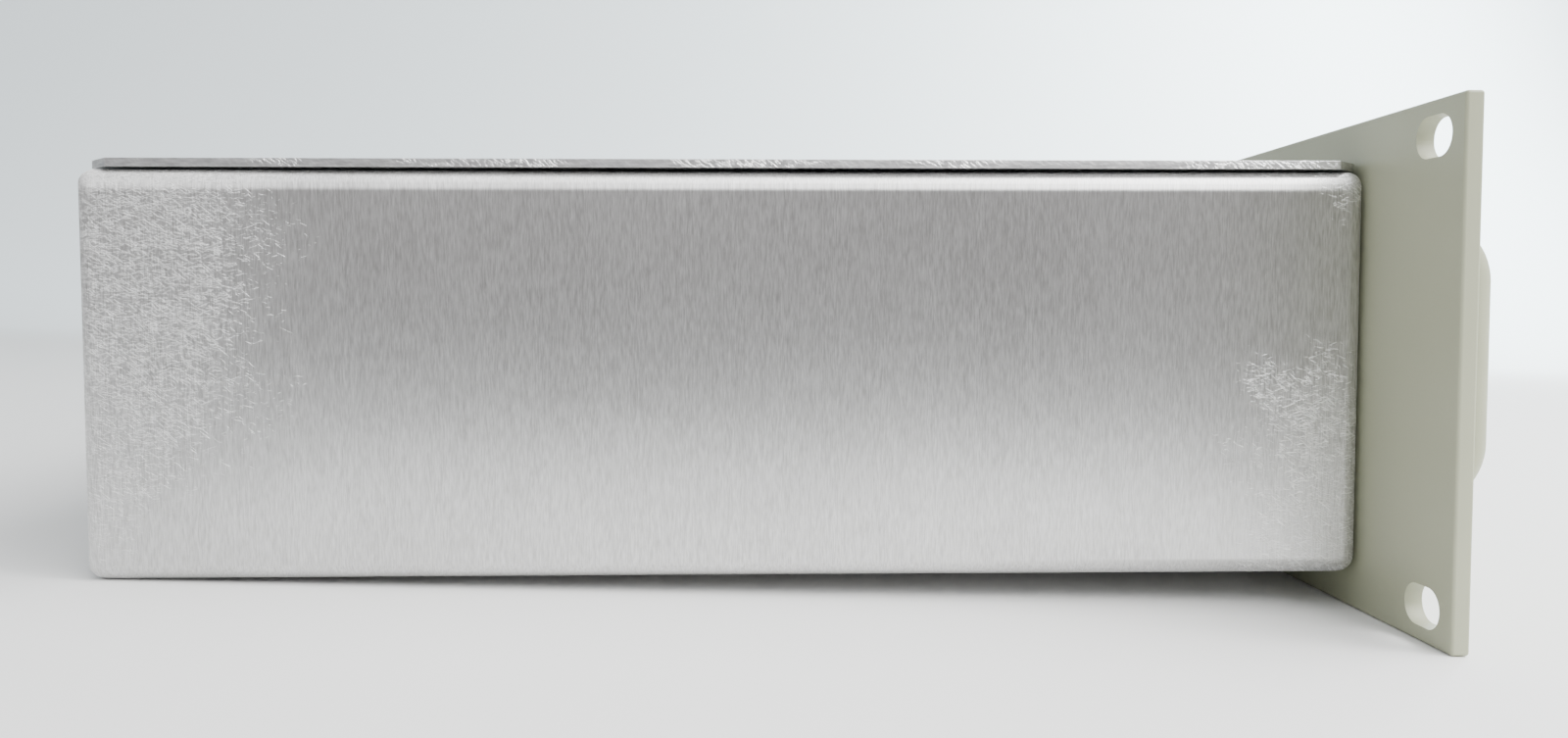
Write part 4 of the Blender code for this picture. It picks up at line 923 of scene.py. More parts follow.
def mains_inlet():
    low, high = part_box("inlet_housing")
    centre = (low + high) / 2
    flange_front = high.y - 3 * MM
    flange = block("inlet_flange", (low.x, flange_front, low.z), high, BLACK, bevel=0.9 * MM, segments=4)
    side, rise = 13.5 * MM, 14.5 * MM
    body = block(
        "inlet_body", (centre.x - side, low.y, centre.z - rise),
        (centre.x + side, high.y - 1 * MM, centre.z + rise), BLACK, bevel=0.6 * MM,
    )
    housing = boolean(flange, "UNION", [body])
    half_width, half_height, corner = 12 * MM, 8.2 * MM, 4 * MM
    socket_z = centre.z + 5.5 * MM
    outline = [
        (half_width, -half_height), (half_width, half_height - corner), (half_width - corner, half_height),
        (corner - half_width, half_height), (-half_width, half_height - corner), (-half_width, -half_height),
    ]
    outline = [(centre.x + x, socket_z + z) for x, z in outline]
    tools = [extruded_y("socket", outline, high.y - 16 * MM, high.y + 2 * MM)]
    drawer_z = centre.z - 9.2 * MM
    tools.append(block(
        "drawer_slot", (centre.x - 11.3 * MM, high.y - 22 * MM, drawer_z - 4.3 * MM),
        (centre.x + 11.3 * MM, high.y + 2 * MM, drawer_z + 4.3 * MM),
    ))
    for side in ("left", "right"):
        spot = middle(f"inlet_screw_{side}")
        tools.append(hole_y(1.9 * MM, spot, high.y))
    for name in ("live", "neutral", "earth"):
        spot = middle(f"inlet_pin_{name}")
        half = mm(1.3, 4, 2.3)
        spot.y = high.y - 19 * MM
        tools.append(around("pin_hole", spot, half))
    housing = weighted(cut(housing, *tools))
    place_piece(housing, "chassis", "black_plastic", "inlet_housing")
    for name in ("live", "neutral", "earth"):
        node = f"inlet_pin_{name}"
        pin_low, pin_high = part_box(node)
        pin = block(f"{node}_blade", pin_low, pin_high, TINNED, bevel=0.45 * MM, segments=4)
        eye = rod("eye", 0.8 * MM, (pin_low.x - MM, pin_low.y + 3 * MM, (pin_low.z + pin_high.z) / 2),
                  (pin_high.x + MM, pin_low.y + 3 * MM, (pin_low.z + pin_high.z) / 2), steps=20)
        place_piece(cut(pin, eye), "chassis", "tinned_brass", node)


def fuse_drawer():
    """A drawer with a finger recess; a glass fuse with metal caps lies across its inner end."""
    low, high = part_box("fuse_drawer")
    centre = (low + high) / 2
    lip = block("drawer_lip", (low.x, high.y - 1.6 * MM, low.z), high, BLACK, bevel=0.5 * MM, segments=3)
    z = centre.z
    tray = block("drawer_tray", (centre.x - 11 * MM, low.y, z - 4 * MM),
                 (centre.x + 11 * MM, high.y - 1 * MM, z + 4 * MM), BLACK, bevel=0.3 * MM)
    drawer = boolean(lip, "UNION", [tray])
    fuse_low, fuse_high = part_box("fuse_link")
    fuse_y = (fuse_low.y + fuse_high.y) / 2
    well = block("well", (centre.x - 10.4 * MM, fuse_y - 3.1 * MM, z - 1.5 * MM),
                 (centre.x + 10.4 * MM, fuse_y + 3.1 * MM, z + 6 * MM))
    recess = rod("recess", 2.2 * MM, (centre.x - 4 * MM, high.y + 1.3 * MM, high.z - 0.6 * MM),
                 (centre.x + 4 * MM, high.y + 1.3 * MM, high.z - 0.6 * MM))
    drawer = weighted(cut(drawer, well, recess))
    place_piece(drawer, "fuse_carrier", "black_plastic", "fuse_drawer")
    fuse_z = (fuse_low.z + fuse_high.z) / 2
    radius = (fuse_high.z - fuse_low.z) / 2 - 0.02 * MM
    start, end = Vector((fuse_low.x, fuse_y, fuse_z)), Vector((fuse_high.x, fuse_y, fuse_z))
    along = (end - start).normalized()
    cap = 5 * MM
    tube = rod("tube", radius - 0.25 * MM, start + along * cap, end - along * cap, FUSE_GLASS)
    caps = [
        rod("cap", radius, start, start + along * cap, NICKEL, chamfer=0.4 * MM),
        rod("cap", radius, end - along * cap, end, NICKEL, chamfer=0.4 * MM),
    ]
    thread = rod("thread", 0.12 * MM, start + along * cap, end - along * cap, NICKEL, steps=8)
    fuse = joined("cartridge_fuse", tube, *caps, thread)
    place_piece(fuse, "fuse_carrier", "fuse_glass", "fuse_link")


# ---------------------------------------------------------------- fan
def fan_frame():
    low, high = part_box("fan_frame")
    centre = (low + high) / 2
    x, z = centre.x, centre.z
    body = block("fan_body", low, high, BLACK, bevel=4 * MM, segments=6, along=1)
    corner = 25 * MM
    tools = [rod("bore", 28.5 * MM, (x, low.y - MM, z), (x, high.y + MM, z), steps=96)]
    for sx in (-1, 1):
        for sz in (-1, 1):
            tools.append(rod("hole", 2.2 * MM, (x + sx * corner, low.y - MM, z + sz * corner),
                             (x + sx * corner, high.y + MM, z + sz * corner), steps=24))
    for axis in ("x", "z"):
        for sign in (-1, 1):
            reach = mm(17, 0, 3) if axis == "z" else mm(3, 0, 17)
            out = Vector((0, 0, 31.5 * MM * sign)) if axis == "z" else Vector((31.5 * MM * sign, 0, 0))
            spot = centre + out
            half = reach + mm(0, 6, 0)
            tools.append(around("waist", spot, half, bevel=1.4 * MM))
    body = cut(body, *tools)
    struts = []
    for turn in (35, 125, 215, 305):
        angle = math.radians(turn)
        along = Vector((math.cos(angle), 0, math.sin(angle)))
        middle_place = Vector((x, low.y + 1.4 * MM, z)) + along * 21.5 * MM
        strut = block("strut", (-7.8 * MM, -1.2 * MM, -1.6 * MM), (7.8 * MM, 1.2 * MM, 1.6 * MM), BLACK,
                      bevel=0.5 * MM)
        strut.data.transform(Matrix.Translation(middle_place) @ Matrix.Rotation(-angle, 4, "Y"))
        struts.append(strut)
    base = turned("base", mm_points((0, 0), (13.6, 0), (14.5, -0.9), (14.5, -2.6), (0, -2.6)),
                  (x, low.y + 0.2 * MM, z), FRONT, BLACK, steps=64)
    tube = turned("tube", mm_points((1.85, 0), (3.4, 0), (3.4, 13.5), (1.85, 13.5)),
                  (x, low.y + 1 * MM, z), REAR, BLACK, steps=32)
    fan_body = joined("fan_body", body, *struts, base, tube)
    place_piece(weighted(fan_body), "chassis", "black_plastic", "fan_frame")
    windings()


def windings():
    """Four coils on the arms of the stator, on a stack of laminations."""
    low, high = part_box("fan_stator")
    centre = (low + high) / 2
    stack = turned("stack", mm_points((3.8, -2), (6, -2), (6, 2), (3.8, 2)),
                   centre, REAR, DARK_STEEL, steps=40)
    pieces = [stack]
    for turn in range(4):
        angle = math.radians(90 * turn + 45)
        out = Vector((math.cos(angle), 0, math.sin(angle)))
        arm = block("arm", (5 * MM, -2 * MM, -1.4 * MM), (9.6 * MM, 2 * MM, 1.4 * MM), DARK_STEEL, bevel=0.2 * MM)
        shoe = block("shoe", (9.4 * MM, -2 * MM, -4.4 * MM), (10.6 * MM, 2 * MM, 4.4 * MM), DARK_STEEL,
                     bevel=0.3 * MM)
        coil = block("coil", (5.9 * MM, -4.4 * MM, -3.6 * MM), (9.2 * MM, 4.4 * MM, 3.6 * MM), COPPER,
                     bevel=1.3 * MM, segments=5)
        for piece in (arm, shoe, coil):
            piece.data.transform(Matrix.Translation(centre) @ Matrix.Rotation(-math.atan2(out.z, out.x), 4, "Y"))
            pieces.append(piece)
    place_piece(joined("stator_windings", *pieces), "chassis", "copper", "fan_stator")


def fan_rotor():
    """A cup hub with seven swept, cambered blades."""
    pivot = pivot_of("fan_spin")
    top = Vector((pivot.x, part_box("fan_rotor")[1].y, pivot.z))
    cup = [
        (1.8 * MM, 0), (12.6 * MM, 0), (13.7 * MM, -0.35 * MM), (14.2 * MM, -1.3 * MM), (14.2 * MM, -15 * MM),
        (12.8 * MM, -15 * MM), (12.8 * MM, -1.6 * MM), (1.8 * MM, -1.6 * MM),
    ]
    hub = turned("hub", cup, top, REAR, FAN_BLACK, steps=72)
    pieces = [hub]
    root, tip = 13.9 * MM, 27.3 * MM
    across, along = 9, 7
    for index in range(7):
        bm = bmesh.new()
        sheets = {1: [], -1: []}
        for i in range(across + 1):
            t = i / across
            radius = root + (tip - root) * t
            pitch = math.radians(36 - 8 * t)
            chord = (15.0 + 1.5 * math.sin(math.pi * t)) * MM
            row = {1: [], -1: []}
            for j in range(along + 1):
                u = j / along - 0.5
                sweep = math.radians(8) * t * t
                camber = 1.1 * MM * (1 - 4 * u * u)
                thick = 0.55 * MM * math.sqrt(max(0.06, 1 - (2 * u) ** 2))
                for sign in (1, -1):
                    h = camber + sign * thick - 0.7 * MM
                    y = u * chord * math.sin(pitch) + h * math.cos(pitch)
                    tangent = u * chord * math.cos(pitch) - h * math.sin(pitch)
                    angle = tangent / radius + sweep + 2 * math.pi * index / 7
                    row[sign].append(bm.verts.new(
                        (pivot.x + radius * math.cos(angle), top.y - 7.8 * MM + y, pivot.z + radius * math.sin(angle))
                    ))
            for sign in (1, -1):
                sheets[sign].append(row[sign])
        for sign in (1, -1):
            grid = sheets[sign]
            for i in range(across):
                for j in range(along):
                    bm.faces.new((grid[i][j], grid[i][j + 1], grid[i + 1][j + 1], grid[i + 1][j]))
        a, b = sheets[1], sheets[-1]
        for i in range(across):
            bm.faces.new((a[i][0], a[i + 1][0], b[i + 1][0], b[i][0]))
            bm.faces.new((a[i][-1], a[i + 1][-1], b[i + 1][-1], b[i][-1]))
        for j in range(along):
            bm.faces.new((a[0][j], a[0][j + 1], b[0][j + 1], b[0][j]))
            bm.faces.new((a[-1][j], a[-1][j + 1], b[-1][j + 1], b[-1][j]))
        pieces.append(finish_mesh("blade", bm, FAN_BLACK, smooth_angle=50))
    place_piece(joined("fan_impeller_fine", *pieces), "fan_impeller", "black_plastic", "fan_rotor")
    shaft_low, shaft_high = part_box("fan_shaft")
    shaft = rod("fan_shaft_fine", 1.48 * MM, (pivot.x, shaft_low.y, pivot.z), (pivot.x, shaft_high.y, pivot.z), NICKEL,
                steps=32, chamfer=0.3 * MM)
    place_piece(shaft, "fan_impeller", "zinc_steel", "fan_shaft")


def fan_guard():
    """Wire rings welded to two crossed wires whose ends are bent into screw eyes."""
    fan = middle("fan_frame")
    radius = 0.85 * MM
    near = REAR_WALL + 0.3 * MM + 0.9 * MM
    far = near + 1.35 * MM
    pieces = []
    for size in (7.5, 14.5, 21.5, 28.5):
        angles = [2 * math.pi * k / 72 for k in range(72)]
        points = [Vector((fan.x + size * MM * math.cos(a), far, fan.z + size * MM * math.sin(a))) for a in angles]
        pieces.append(wire("ring", points, radius, CHROME, sides=5, cyclic=True))
    eye = 2.75 * MM
    for turn in (45, 135):
        along = Vector((math.cos(math.radians(turn)), 0, math.sin(math.radians(turn))))
        side = Vector((-along.z, 0, along.x))
        reach = 25 * MM * math.sqrt(2)
        centre = Vector((fan.x, near, fan.z))
        path = []
        for sign in (-1, 1):
            hook = centre + along * sign * reach
            turns = [math.radians(180 - 315 * k / 24) for k in range(25)]
            loop = [hook + (along * sign * math.cos(a) + side * math.sin(a)) * eye for a in turns]
            path = loop[::-1] if sign < 0 else path + loop
        pieces.append(wire("spoke", path, radius, CHROME, sides=5))
    place_piece(joined("wire_guard", *pieces), "chassis", "zinc_steel", "fan_guard")


# ---------------------------------------------------------------- signal connector
def d_outline(width, height, radius, centre):
    """The D shape, narrower below, with round corners, as (x, z) points."""
    slant = height * math.tan(math.radians(10))
    corners = [
        Vector((width / 2, height / 2)), Vector((-width / 2, height / 2)),
        Vector((slant - width / 2, -height / 2)), Vector((width / 2 - slant, -height / 2)),
    ]
    points = []
    for index, corner in enumerate(corners):
        before = (corners[index - 1] - corner).normalized() * radius
        after = (corners[(index + 1) % 4] - corner).normalized() * radius
        for k in range(7):
            t = k / 6
            place = corner + before * (1 - t) ** 2 + after * t ** 2
            points.append((centre.x + place.x, centre.z + place.y))
    return points


def signal_connector():
    low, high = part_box("connector_shell")
    centre = (low + high) / 2
    plate = block("plate", low, (high.x, low.y + 1 * MM, high.z), NICKEL, bevel=0.9 * MM, segments=4, along=1)
    sleeve = extruded_y("sleeve", d_outline(39.1 * MM, 8.5 * MM, 2.2 * MM, centre), low.y + 0.2 * MM, high.y, NICKEL)
    shell = boolean(plate, "UNION", [sleeve])
    tools = [extruded_y("hollow", d_outline(38.1 * MM, 7.5 * MM, 1.8 * MM, centre), low.y - MM, high.y + MM)]
    for side in ("left", "right"):
        spot = middle(f"jackscrew_{side}")
        tools.append(hole_y(1.9 * MM, spot, low.y))
    shell = cut(shell, *tools)
    dimples = []
    for x in (-12, -4, 4, 12):
        for sign in (-1, 1):
            spot = Vector((centre.x + x * MM, high.y - 2.2 * MM, centre.z + sign * 4.25 * MM))
            cap = mm_points((0, 0.3), (0.5, 0.24), (0.9, 0), (0.9, -0.2), (0, -0.2))
            dimples.append(turned("dimple", cap, spot, UP * sign, NICKEL, steps=16))
    place_piece(weighted(joined("connector_hood", shell, *dimples)), "chassis", "zinc_steel", "connector_shell")
    insert_low, insert_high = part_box("connector_insert")
    insert = extruded_y("insert", d_outline(37.4 * MM, 6.8 * MM, 1.5 * MM, centre), insert_high.y - 15 * MM,
                        insert_high.y, BLACK)
    back = block("back", insert_low, (insert_high.x, low.y - 0.3 * MM, insert_high.z), BLACK, bevel=0.4 * MM)
    insert = boolean(insert, "UNION", [back])
    holes, contacts = [], []
    for count, z in ((13, 1.42), (12, -1.42)):
        for k in range(count):
            x = centre.x + (k - (count - 1) / 2) * 2.76 * MM
            z_place = centre.z + z * MM
            tip = insert_high.y
            holes.append(rod("hole", 0.62 * MM, (x, tip - 4 * MM, z_place), (x, tip + MM, z_place), steps=16))
            contacts.append(rod("contact", 0.5 * MM, (x, tip - 3.9 * MM, z_place), (x, tip - 0.8 * MM, z_place),
                                GOLD, steps=12))
    insert = cut(insert, *holes)
    place_piece(joined("connector_body", insert, *contacts), "chassis", "black_plastic", "connector_insert")
    for side in ("left", "right"):
        jackscrew(f"jackscrew_{side}")


def hexagon(name, radius, start, end, axis, material, chamfer):
    """A hexagonal bar whose corners are chamfered at its end."""
    length = (end - start).length
    corner = radius / math.cos(math.radians(30))
    c = chamfer
    bar = turned(name, [(0, 0), (corner, 0), (corner, length), (0, length)], start, axis, material, steps=6,
                 smooth_angle=25)
    cone = turned("cone", [(0, -c), (corner + c, -c), (corner + c, length - 2 * c), (radius - c, length + c * 0.2),
                           (0, length + c * 0.2)], start, axis, material, steps=48)
    return boolean(bar, "INTERSECT", [cone])


def jackscrew(node):
    low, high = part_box(node)
    centre = (low + high) / 2
    face = Vector((centre.x, REAR_WALL + 0.3 * MM, centre.z))
    tip = Vector((centre.x, high.y, centre.z))
    post = hexagon("post", 2.33 * MM, face, tip, REAR, NICKEL, 0.35 * MM)
    post = cut(post, rod("thread", 1.3 * MM, face + MM * REAR, tip + MM * REAR, steps=24))
    shank = rod("shank", 1.45 * MM, (centre.x, low.y, centre.z), face + 0.2 * MM * REAR, NICKEL, chamfer=0.3 * MM)
    place_piece(joined(f"{node}_fine", post, shank), "chassis", "zinc_steel", node)


# ---------------------------------------------------------------- power supply and boards
def supply():
    low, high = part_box("supply_bracket")
    sheet = 1.5 * MM
    bracket = block("bracket", low, high, SHEET_PLAIN, bevel=1.4 * MM, segments=4, along=1)
    room = block("room", (low.x + sheet, low.y - 5 * MM, low.z + sheet),
                 (high.x - sheet, high.y + 5 * MM, high.z + 9 * MM),
                 bevel=0.6 * MM, along=1)
    tools = [room]
    for x in (low.x, high.x):
        for k in range(7):
            y = low.y + 22 * MM + 14 * MM * k
            half = mm(4, 2, 8)
            spot = Vector((x, y, low.z + 27 * MM))
            tools.append(around("slot", spot, half, bevel=1.9 * MM, segments=4, along=0))
    bracket = cut(bracket, *tools)
    posts = []
    for x in (low.x + 9 * MM, high.x - 9 * MM):
        for y in (low.y + 9 * MM, high.y - 9 * MM):
            posts.append(rod("post", 3 * MM, (x, y, low.z + sheet - 0.4 * MM), (x, y, low.z + sheet + 5 * MM), ZINC))
    place_piece(weighted(joined("supply_tray", bracket, *posts)), "chassis", "mill_aluminium", "supply_bracket")
    board_low, board_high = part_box("supply_board")
    board = block("supply_laminate", board_low, board_high, BOARD, bevel=0.15 * MM, segments=1)
    place_piece(board, "chassis", "circuit_board", "supply_board")
    supply_parts(board_low, board_high)


def supply_parts(low, high):
    """The transformer, smoothing capacitor, heat sink and the small parts round them."""
    top = high.z
    core_low, core_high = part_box("supply_transformer")
    thick = core_high - core_low
    core = []
    for z in (0, 1):
        height = thick.z * 0.26
        base = core_low.z if z == 0 else core_high.z - height
        core.append(block("yoke", (core_low.x, core_low.y + 5 * MM, base),
                          (core_high.x, core_high.y - 5 * MM, base + height), FERRITE, bevel=0.5 * MM))
    for x in (core_low.x, core_high.x - 5 * MM):
        core.append(block("leg", (x, core_low.y + 5 * MM, core_low.z), (x + 5 * MM, core_high.y - 5 * MM, core_high.z),
                          FERRITE, bevel=0.5 * MM))
    centre = (core_low + core_high) / 2
    inner = core_high.z - thick.z * 0.26
    core.append(block("winding", (core_low.x + 5.4 * MM, core_low.y + 1.5 * MM, core_low.z + thick.z * 0.28),
                      (core_high.x - 5.4 * MM, core_high.y - 1.5 * MM, inner - 0.5 * MM), TAPE, bevel=2 * MM,
                      segments=5))
    core.append(block("bobbin", (core_low.x + 5 * MM, core_low.y, core_low.z), (core_high.x - 5 * MM, core_high.y,
                      core_low.z + thick.z * 0.27), BLACK, bevel=0.6 * MM))
    core.append(block("band", (centre.x - 5 * MM, core_low.y + 4.6 * MM, core_low.z + 0.2 * MM),
                      (centre.x + 5 * MM, core_high.y - 4.6 * MM, core_high.z), TAPE, bevel=0.4 * MM))
    place_piece(joined("switching_transformer", *core), "chassis", "transformer", "supply_transformer")
    can_low, can_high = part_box("supply_capacitor")
    centre, height, radius = (can_low + can_high) / 2, can_high.z - can_low.z, (can_high.x - can_low.x) / 2
    foot = Vector((centre.x, centre.y, can_low.z))
    place_piece(can_capacitor("smoothing_capacitor", foot, radius, height), "chassis", "capacitor_sleeve",
                "supply_capacitor")
    sink_low, sink_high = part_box("supply_heat_sink")
    sink = block("sink", sink_low, sink_high, SHEET_PLAIN, bevel=0.4 * MM, along=1)
    grooves = []
    for k in range(5):
        z = (sink_low.z + sink_high.z) / 2 + (k - 2) * 5.2 * MM
        grooves.append(block("groove", (sink_low.x - MM, sink_low.y - MM, z - 1.7 * MM),
                             (sink_high.x - 4 * MM, sink_high.y + MM, z + 1.7 * MM), bevel=0.8 * MM, along=1))
    place_piece(weighted(cut(sink, *grooves)), "chassis", "mill_aluminium", "supply_heat_sink")
    parts = []
    for k in range(3):
        y = sink_low.y + (12 + 22 * k) * MM
        x = sink_low.x - 5.6 * MM
        parts.append(block("power_device", (x, y, top + 3 * MM), (x + 4.6 * MM, y + 10 * MM, top + 18 * MM), CHIP,
                           bevel=0.4 * MM))
        for pin in (-2.5, 0, 2.5):
            foot = Vector((x + 2.3 * MM, y + (5 + pin) * MM, top))
            parts.append(rod("leg", 0.4 * MM, foot, foot + 3.4 * MM * UP, TINNED, steps=8))
    for k, (x, y) in enumerate(((36, 24), (36, 42), (52, 42), (52, 58))):
        foot = Vector((low.x + x * MM, low.y + (y + 40) * MM, top + 0.2 * MM))
        parts.append(can_capacitor("can", foot, 4.0 * MM + 0.6 * MM * (k % 2), (13 + 3 * (k % 2)) * MM))
    for k in range(5):
        x, y = low.x + (14 + 12 * k) * MM, high.y - 8 * MM
        parts.append(block("film", (x, y - 4 * MM, top + 0.2 * MM), (x + 9 * MM, y + 1 * MM, top + 9 * MM), FILM,
                           bevel=0.8 * MM, segments=4))
    parts.append(terminal_block(Vector((low.x + 12 * MM, low.y + 5 * MM, top + 0.1 * MM)), 5))
    for k in range(6):
        parts.append(resistor(Vector((low.x + 12 * MM, low.y + (56 + 7 * k) * MM, top + 1.4 * MM)), k))
    place_piece(joined("supply_small_parts", *parts), "chassis", "black_plastic")


def can_capacitor(name, foot, radius, height):
    """An aluminium can in a shrunk sleeve with a scored top and a pale stripe down one side."""
    lip = min(1.0 * MM, radius * 0.15)
    profile = [
        (0, height - 0.3 * MM), (radius * 0.72, height - 0.3 * MM), (radius * 0.78, height), (radius - lip, height),
        (radius, height - lip), (radius, 2.6 * MM), (radius * 0.945, 1.9 * MM), (radius, 1.1 * MM),
        (radius * 0.97, 0), (0, 0),
    ]
    can = turned(name, profile, foot, UP, SLEEVE, steps=40)
    can.data.materials.append(SHEET_PLAIN)
    can.data.materials.append(SLEEVE_STRIPE)
    for polygon in can.data.polygons:
        place = polygon.center - foot
        if place.z > height - lip * 0.9 and math.hypot(place.x, place.y) < radius * 0.8:
            polygon.material_index = 1
        elif abs(polygon.normal.z) < 0.5 and abs(math.atan2(place.y, -place.x)) < 0.35:
            polygon.material_index = 2
    return can


def terminal_block(foot, poles):
    """A row of screw terminals."""
    pitch, depth, height = 5.08 * MM, 8 * MM, 9.5 * MM
    body = block("terminal_body", foot, foot + Vector((pitch * poles, depth, height)), GREEN_PLASTIC, bevel=0.5 * MM)
    tools, screws = [], []
    for k in range(poles):
        centre = foot + Vector((pitch * (k + 0.5), depth * 0.55, height))
        tools.append(rod("well", 1.9 * MM, centre - 3 * MM * UP, centre + MM * UP, steps=20))
        mouth = foot + Vector((pitch * (k + 0.5), 0, 3.2 * MM))
        tools.append(block("mouth", mouth - Vector((1.7 * MM, MM, 1.5 * MM)), mouth + Vector((1.7 * MM, 4 * MM, 1.5 * MM))))
        screw = rod("screw", 1.7 * MM, centre - 2.9 * MM * UP, centre - 1.2 * MM * UP, ZINC, steps=20, chamfer=0.2 * MM)
        slot = block("slot", centre + Vector((-2 * MM, -0.25 * MM, -1.7 * MM)), centre + Vector((2 * MM, 0.25 * MM, 0)))
        screws.append(cut(screw, slot))
    return joined("terminals", cut(body, *tools), *screws)


def resistor(place, index):
    """A small body with three colour bands and wire ends bent down into the board."""
    length, radius = 6.4 * MM, 1.15 * MM
    x = place.x
    bulge = radius * 1.18
    profile = [(0, 0), (bulge * 0.7, 0.1 * MM), (bulge, 0.7 * MM), (radius, 1.6 * MM), (radius, length - 1.6 * MM),
               (bulge, length - 0.7 * MM), (bulge * 0.7, length - 0.1 * MM), (0, length)]
    body = turned("body", profile, place, Vector((1, 0, 0)), RESISTOR, steps=20)
    bands = []
    tints = (BAND_RED, BAND_BROWN, BAND_GOLD)
    for k in range(3):
        at = 1.9 * MM + 1.15 * MM * k
        bands.append(rod("band", radius + 0.05 * MM, place + Vector((at, 0, 0)), place + Vector((at + 0.5 * MM, 0, 0)),
                         tints[(k + index) % 3], steps=20))
    drop = place.z - 1.4 * MM
    ends = []
    for start, out in ((x, -1), (x + length, 1)):
        path = [Vector((start - out * 0.3 * MM, place.y, place.z)), Vector((start + out * 1.2 * MM, place.y, place.z)),
                Vector((start + out * 1.7 * MM, place.y, place.z - 0.5 * MM)), Vector((start + out * 1.7 * MM, place.y, drop))]
        ends.append(wire("end", path, 0.28 * MM, TINNED, sides=2))
    return joined("resistor", body, *bands, *ends)


def chip(place, size, pins, pitch):
    """A moulded package with gull-wing pins along its two long sides."""
    x, y, z = size
    body = block("package", place - Vector((x / 2, y / 2, -0.25 * MM)), place + Vector((x / 2, y / 2, z)), CHIP,
                 bevel=0.25 * MM)
    dot = rod("dot", 0.6 * MM, place + Vector((x / 2 - 1.8 * MM, y / 2 - 1.8 * MM, z - 0.2 * MM)),
              place + Vector((x / 2 - 1.8 * MM, y / 2 - 1.8 * MM, z + MM)), steps=16)
    pieces = [cut(body, dot)]
    for side in (-1, 1):
        for k in range(pins):
            along = (k - (pins - 1) / 2) * pitch
            edge = place + Vector((along, side * y / 2, 0))
            outline = [(0, z * 0.55), (1.1 * MM, z * 0.55), (1.3 * MM, 0.12 * MM), (2.2 * MM, 0.12 * MM)]
            path = [Vector((edge.x, edge.y + side * (out - 0.1 * MM), place.z + up)) for out, up in outline]
            pieces.append(wire("pin", path, 0.19 * MM, TINNED, sides=1))
    return joined("chip", *pieces)


def header(place, count, rows=2):
    """A shrouded pin header."""
    pitch = 2.54 * MM
    length, width, height = pitch * count + 5 * MM, 8.6 * MM, 8.8 * MM
    half = Vector((length / 2, width / 2, 0))
    body = block("shroud", place - half, place + half + height * UP, BLACK, bevel=0.3 * MM)
    inner = half - Vector((1.1 * MM, 1.1 * MM, 0))
    room = block("room", place - inner + 2.4 * MM * UP, place + inner + (height + MM) * UP)
    key = block("key", place + Vector((-2.2 * MM, -width, 3 * MM)), place + Vector((2.2 * MM, -width / 4, height + MM)))
    pieces = [cut(body, room, key)]
    for k in range(count):
        for row in range(rows):
            spot = place + Vector(((k - (count - 1) / 2) * pitch, (row - (rows - 1) / 2) * pitch, 2.2 * MM))
            half_pin = Vector((0.32 * MM, 0.32 * MM, 0))
            pieces.append(block("pin", spot - half_pin, spot + half_pin + 5.6 * MM * UP, GOLD, bevel=0.12 * MM,
                                segments=1))
    return joined("header", *pieces)


